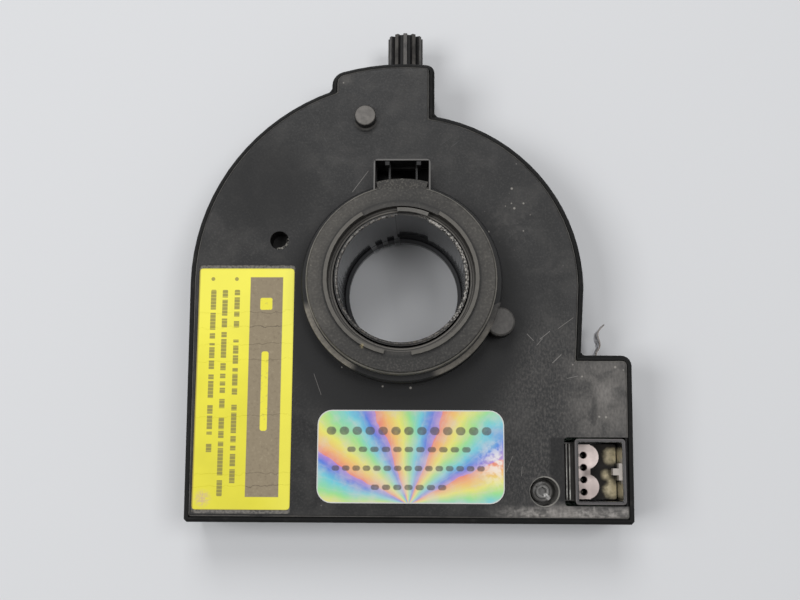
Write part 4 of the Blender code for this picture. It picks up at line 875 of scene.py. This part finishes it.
def rays(foil, low, high):
    """Spectra that turn about the middle of the lower edge, paler near it, with fine rays in them."""
    x = foil.x - (low.x + 0.49 * (high.x - low.x))
    y = foil.y - low.y + 0.3
    angle = foil.maths("ARCTAN2", y, x)
    sweep, first = 41.0, 110.0
    bend = (foil.noise(7.0, 3.0, seed=91) - 0.5) * 0.35
    hue = (angle * (-180 / math.pi / sweep) + (first / sweep + 2) + bend).rest()
    stops = (
        (0.00, (0.84, 0.24, 0.20)), (0.14, (0.92, 0.50, 0.17)), (0.32, (0.84, 0.80, 0.17)),
        (0.50, (0.34, 0.76, 0.30)), (0.68, (0.17, 0.62, 0.72)), (0.86, (0.11, 0.22, 0.74)),
        (1.00, (0.48, 0.25, 0.66)),
    )
    spectrum = foil.node("ValToRGB", {"stops": stops}, {"Fac": hue}, "Color")
    fine = (angle * 9.0 + foil.noise(2.0, 2.0, seed=92) * 0.8).rest().rise(0.75, 1.0)
    near = ((x ** 2 + y ** 2) ** 0.5).rise(17.0, 3.0)
    pale = near * 0.32 + foil.cloud(2.6, 0.38, 0.8, seed=93) * 0.4 + fine * 0.12
    return foil.mix(pale.least(0.85), spectrum, (0.72, 0.66, 0.62, 1.0))


class SENSOR_OT_foil_label(Operator):
    """Print the foil label: rainbow rays from its lower edge, a pale border and plain bars"""

    bl_idname = "sensor.foil_label"
    bl_label = "Print the foil label"

    def execute(self, context):
        low, high = span("foil_label")
        foil = Finish("foil_label_film", context.scene.sensor_labels.foil, 0.32, coat=0.15)
        outline = foil.plate(low.x, low.y, high.x, high.y, 3.1)
        foil.paint(outline.under(-0.22, 0.12), rays(foil, low, high), 0.3)
        glare = foil.disc(low.x + 38.0, low.y + 8.3, 1.5).rise(5.0, -1.0)
        glare = glare * foil.cloud(1.2, 0.35, 0.6, 2.0, seed=94)
        foil.paint(glare * outline.under(-0.4) * 0.75, (0.98, 0.97, 0.90), 0.25)
        print_dashes(foil, low)
        foil.emboss(foil.noise(1.5, 2.0, seed=95) * 0.015)
        foil.done("foil_label")
        return {"FINISHED"}


def finish_board(looks):
    board = Finish("board_varnish", looks.board, 0.32, coat=0.4)
    across = (board.x * 0.5).rest().between(0.3, 0.55, 0.03)
    across = across * board.cloud(6.0, 0.48, 0.52, 0.0, stretch=3, turn=90, seed=101)
    along = (board.y * 0.4).rest().between(0.3, 0.5, 0.03)
    along = along * board.cloud(6.0, 0.5, 0.54, 0.0, stretch=3, seed=102)
    tracks = across.most(along)
    board.paint(tracks, looks.copper, 0.3)
    board.paint(board.flecks(4.0, 0.7, 0.3, 103), (0.60, 0.58, 0.52), 0.3, metallic=0.9)
    low, high = span("circuit_board")
    sawn = board.z.between(low.z + 0.05, high.z - 0.05, 0.04)
    board.paint(sawn * 0.3, (0.30, 0.27, 0.14), 0.7)
    board.emboss(tracks * 0.03)
    board.done("circuit_board")


def finish_chips(looks):
    chip = Finish("chip_mould", looks.chip, 0.5)
    grain = chip.noise(0.3, 3.0, seed=111)
    chip.shade_by(grain * 0.5 + 0.75)
    low, high = span("controller_chip")
    body = chip.plate(low.x + 0.9, low.y + 0.9, high.x - 0.9, high.y - 0.9)
    feet = chip.z.under(low.z + 0.32, 0.03) * body.rise(0.0, 0.1)
    chip.paint(feet, (0.6, 0.59, 0.55), 0.3, metallic=1.0)
    dot = chip.disc(low.x + 2.0, high.y - 2.0, 0.45)
    chip.emboss(dot.under() * -0.05 + grain * 0.02)
    chip.done("controller_chip", "amplifier_chip", "voltage_regulator")
    barrier = Finish("barrier_mould", looks.chip, 0.36)
    barrier.shade_by(barrier.noise(1.0, 3.0, seed=112) * 0.6 + 0.7)
    barrier.emboss(barrier.noise(0.5, 2.0, seed=113) * 0.015)
    barrier.done(*numbered("light_barrier", 3))


def finish_steel(looks):
    washer = Finish("washer_steel", looks.steel, 0.3, metallic=1.0)
    lathe = (washer.disc(0, 0, 0) * 3.0 + washer.noise(4.0, 2.0, seed=121) * 0.6).rest()
    washer.layers["Roughness"] = lathe * 0.16 + 0.2
    washer.shade_by(lathe * 0.12 + 0.92)
    washer.emboss(lathe * 0.004)
    washer.done("thrust_washer")
    disc = Finish("disc_film", (0.010, 0.010, 0.011), 0.42)
    streak = disc.noise(2.0, 4.0, seed=124)
    disc.shade_by(streak * 0.6 + 0.7)
    disc.layers["Roughness"] = streak * 0.2 + 0.34
    disc.emboss(streak * 0.004)
    disc.done("encoder_disc")
    screw = Finish("screw_zinc", looks.steel, 0.34, metallic=1.0)
    plating = screw.noise(0.8, 4.0, seed=122)
    screw.shade_by(plating * 0.5 + 0.72)
    screw.layers["Roughness"] = plating * 0.3 + 0.18
    screw.emboss(plating * 0.01)
    screw.done(*numbered("board_screw", 3))


def finish_cover_screw():
    """The dark screw at the foot of the well, painted lighter than its black as painted light in the deep
    well, with lighter rings, a painted glint and a painted highlight crescent.
    """
    x, y = middle_of("cover_screw")
    # Painted light: the screw's colour is lighter than its black, for the deep well.
    screw = Finish("cover_screw_black", (0.13, 0.127, 0.123), 0.4, metallic=0.1)
    reach = screw.disc(x, y, 0)
    patina = screw.noise(0.7, 4.0, seed=123)
    rings = reach.between(1.7, 1.95, 0.1) + reach.between(0.9, 1.1, 0.1) * 0.6
    screw.paint(rings.least(1.0) * (patina * 0.5 + 0.4), (0.36, 0.35, 0.335), 0.35)
    # Painted highlights: a glint at the lower right and a crescent at the upper left.
    glint = screw.stroke((x + 0.7, y - 0.8), (x + 1.6, y - 1.7), 0.55)
    crescent = reach.between(1.5, 1.9, 0.15) * (screw.y - screw.x + x - y).rise(1.2, 2.2)
    bright = (glint + crescent * 0.6).least(1.0) * patina.rise(0.3, 0.5)
    screw.paint(bright * 0.9, (0.85, 0.84, 0.82), 0.3)
    screw.roughen((patina - 0.5) * 0.2)
    screw.emboss(patina * 0.02)
    screw.done("cover_screw")


def finish_small_parts(looks):
    x, y = middle_of("electrolytic_capacitor")
    can = Finish("capacitor_can", looks.can, 0.26, metallic=1.0)
    sleeve = can.z.under(top_of("electrolytic_capacitor") - 0.35, 0.03)
    can.paint(sleeve, (0.020, 0.020, 0.024), 0.3, metallic=0.0)
    stripe = (can.x - x).between(1.0, 3.4, 0.05) * (can.y - y).between(-1.3, 1.3, 0.05)
    can.paint(sleeve * stripe, (0.45, 0.45, 0.44), 0.35)
    arms = ((2.0, 0.08), (0.08, 2.0))
    cross = sum(can.plate(x - wide, y - tall, x + wide, y + tall).under() for wide, tall in arms)
    can.emboss(cross.least(1.0) * -0.08 + can.noise(0.6, 2.0, seed=131) * 0.006)
    can.done("electrolytic_capacitor")
    ceramic = Finish("resonator_ceramic", (0.42, 0.34, 0.24), 0.4)
    ceramic.shade_by(ceramic.noise(0.7, 4.0, seed=132) * 0.4 + 0.8)
    ceramic.emboss(ceramic.noise(0.5, 3.0, seed=133) * 0.02)
    ceramic.done("resonator")


class SENSOR_OT_insides(Operator):
    """Finish what the case holds: board, chips, barriers, disc, washers, screws and capacitor"""

    bl_idname = "sensor.insides"
    bl_label = "Finish the insides"

    def execute(self, context):
        looks = context.scene.sensor_inside
        finish_board(looks)
        finish_chips(looks)
        finish_steel(looks)
        finish_cover_screw()
        finish_small_parts(looks)
        case_plastic("retainer_plastic", context.scene.sensor_case, gloss=0.1).done("disc_retainer")
        return {"FINISHED"}


class SENSOR_OT_solder(Operator):
    """Add the solder joints of the socket's pins under the board"""

    bl_idname = "sensor.solder"
    bl_label = "Add the solder joints"

    def execute(self, context):
        depth = 0.55 * MM
        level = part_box("circuit_board")[0].z - depth / 2
        half_turn = Matrix.Rotation(math.pi, 3, "X")
        work = bmesh.new()
        for index in range(1, 5):
            low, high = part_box(f"terminal_pin_{index}")
            cone = bmesh.ops.create_cone(
                work, cap_ends=True, segments=20, radius1=1.0 * MM, radius2=0.3 * MM, depth=depth
            )
            drop = Vector(((low.x + high.x) / 2, (low.y + high.y) / 2, level))
            bmesh.ops.rotate(work, cent=(0, 0, 0), matrix=half_turn, verts=cone["verts"])
            bmesh.ops.translate(work, vec=drop, verts=cone["verts"])
        round_edges(work, 0.3)
        bmesh.ops.recalc_face_normals(work, faces=work.faces)
        tin = Finish("solder_tin", (0.66, 0.66, 0.65), 0.24, metallic=1.0)
        tin.layers["Roughness"] = tin.noise(0.6, 3.0, seed=141) * 0.25 + 0.14
        joints = add_piece("solder_joints", work, tin.done())
        joints.data.shade_smooth()
        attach(joints, "housing")
        return {"FINISHED"}


def add_floor(looks):
    material = bpy.data.materials.new("pale_floor")
    material.use_nodes = True
    shader = material.node_tree.nodes["Principled BSDF"]
    shader.inputs["Base Color"].default_value = (*looks.floor, 1.0)
    shader.inputs["Roughness"].default_value = 0.8
    work = bmesh.new()
    bmesh.ops.create_grid(work, x_segments=1, y_segments=1, size=3.0)
    bmesh.ops.translate(work, vec=(0, 0, -0.0001), verts=work.verts)
    floor = add_piece("floor", work, material)


def add_lamp(scene, name, power, size, place):
    data = bpy.data.lights.new(name, "AREA")
    data.shape = "SQUARE"
    data.size = size
    data.energy = power
    lamp = bpy.data.objects.new(name, data)
    lamp.location = place
    lamp.rotation_euler = (-Vector(place)).to_track_quat("-Z", "Y").to_euler()
    scene.collection.objects.link(lamp)


class SENSOR_OT_stage(Operator):
    """Set the camera, the pale floor and the soft lights"""

    bl_idname = "sensor.stage"
    bl_label = "Set the stage"

    def execute(self, context):
        scene = context.scene
        looks = scene.sensor_stage
        data = bpy.data.cameras.new("photo_camera")
        data.lens = looks.lens
        data.sensor_width = 36.0
        data.clip_start = 0.01
        camera = bpy.data.objects.new("photo_camera", data)
        camera.location = looks.camera_place
        camera.rotation_euler = looks.camera_turn
        scene.collection.objects.link(camera)
        scene.camera = camera
        add_floor(looks)
        add_lamp(scene, "soft_lamp", looks.lamp, 0.28, (0.32, 0.04, 0.80))
        add_lamp(scene, "side_lamp", looks.side_lamp, 0.36, (-0.46, -0.06, 0.70))
        add_lamp(scene, "upper_lamp", looks.upper_lamp, 0.36, (-0.06, 0.46, 0.70))
        world = bpy.data.worlds.new("studio_sky")
        world.use_nodes = True
        sky = world.node_tree.nodes["Background"].inputs
        sky["Color"].default_value = (1.0, 1.0, 1.0, 1.0)
        sky["Strength"].default_value = looks.sky
        scene.world = world
        scene.view_settings.view_transform = "Standard"
        return {"FINISHED"}


class SENSOR_PT_looks(Panel):
    """Lists the steps that dress the sensor"""

    bl_idname = "SENSOR_PT_looks"
    bl_label = "Steering angle sensor"
    bl_space_type = "VIEW_3D"
    bl_region_type = "UI"
    bl_category = "Sensor"

    def draw(self, context):
        for step in STEPS:
            self.layout.operator(step.bl_idname)
        for name in SETTINGS:
            settings = getattr(context.scene, name)
            box = self.layout.box()
            for key in settings.__annotations__:
                box.prop(settings, key)


SETTINGS = {
    "sensor_case": SensorCaseLooks,
    "sensor_hub": SensorHubLooks,
    "sensor_socket": SensorSocketLooks,
    "sensor_labels": SensorLabelLooks,
    "sensor_inside": SensorInsideLooks,
    "sensor_stage": SensorStageLooks,
}
STEPS = (
    SENSOR_OT_rear_case,
    SENSOR_OT_front_cover,
    SENSOR_OT_pocket_sill,
    SENSOR_OT_hub,
    SENSOR_OT_socket,
    SENSOR_OT_peg_and_spring,
    SENSOR_OT_yellow_label,
    SENSOR_OT_foil_label,
    SENSOR_OT_insides,
    SENSOR_OT_solder,
    SENSOR_OT_stage,
)
CLASSES = (*SETTINGS.values(), *STEPS, SENSOR_PT_looks)


def register():
    for item in CLASSES:
        bpy.utils.register_class(item)
    for name, settings in SETTINGS.items():
        setattr(bpy.types.Scene, name, PointerProperty(type=settings))


def unregister():
    for name in SETTINGS:
        delattr(bpy.types.Scene, name)
    for item in reversed(CLASSES):
        bpy.utils.unregister_class(item)


def main():
    register()
    for step in STEPS:
        getattr(bpy.ops.sensor, step.bl_idname.removeprefix("sensor."))()


if __name__ == "__main__":
    main()
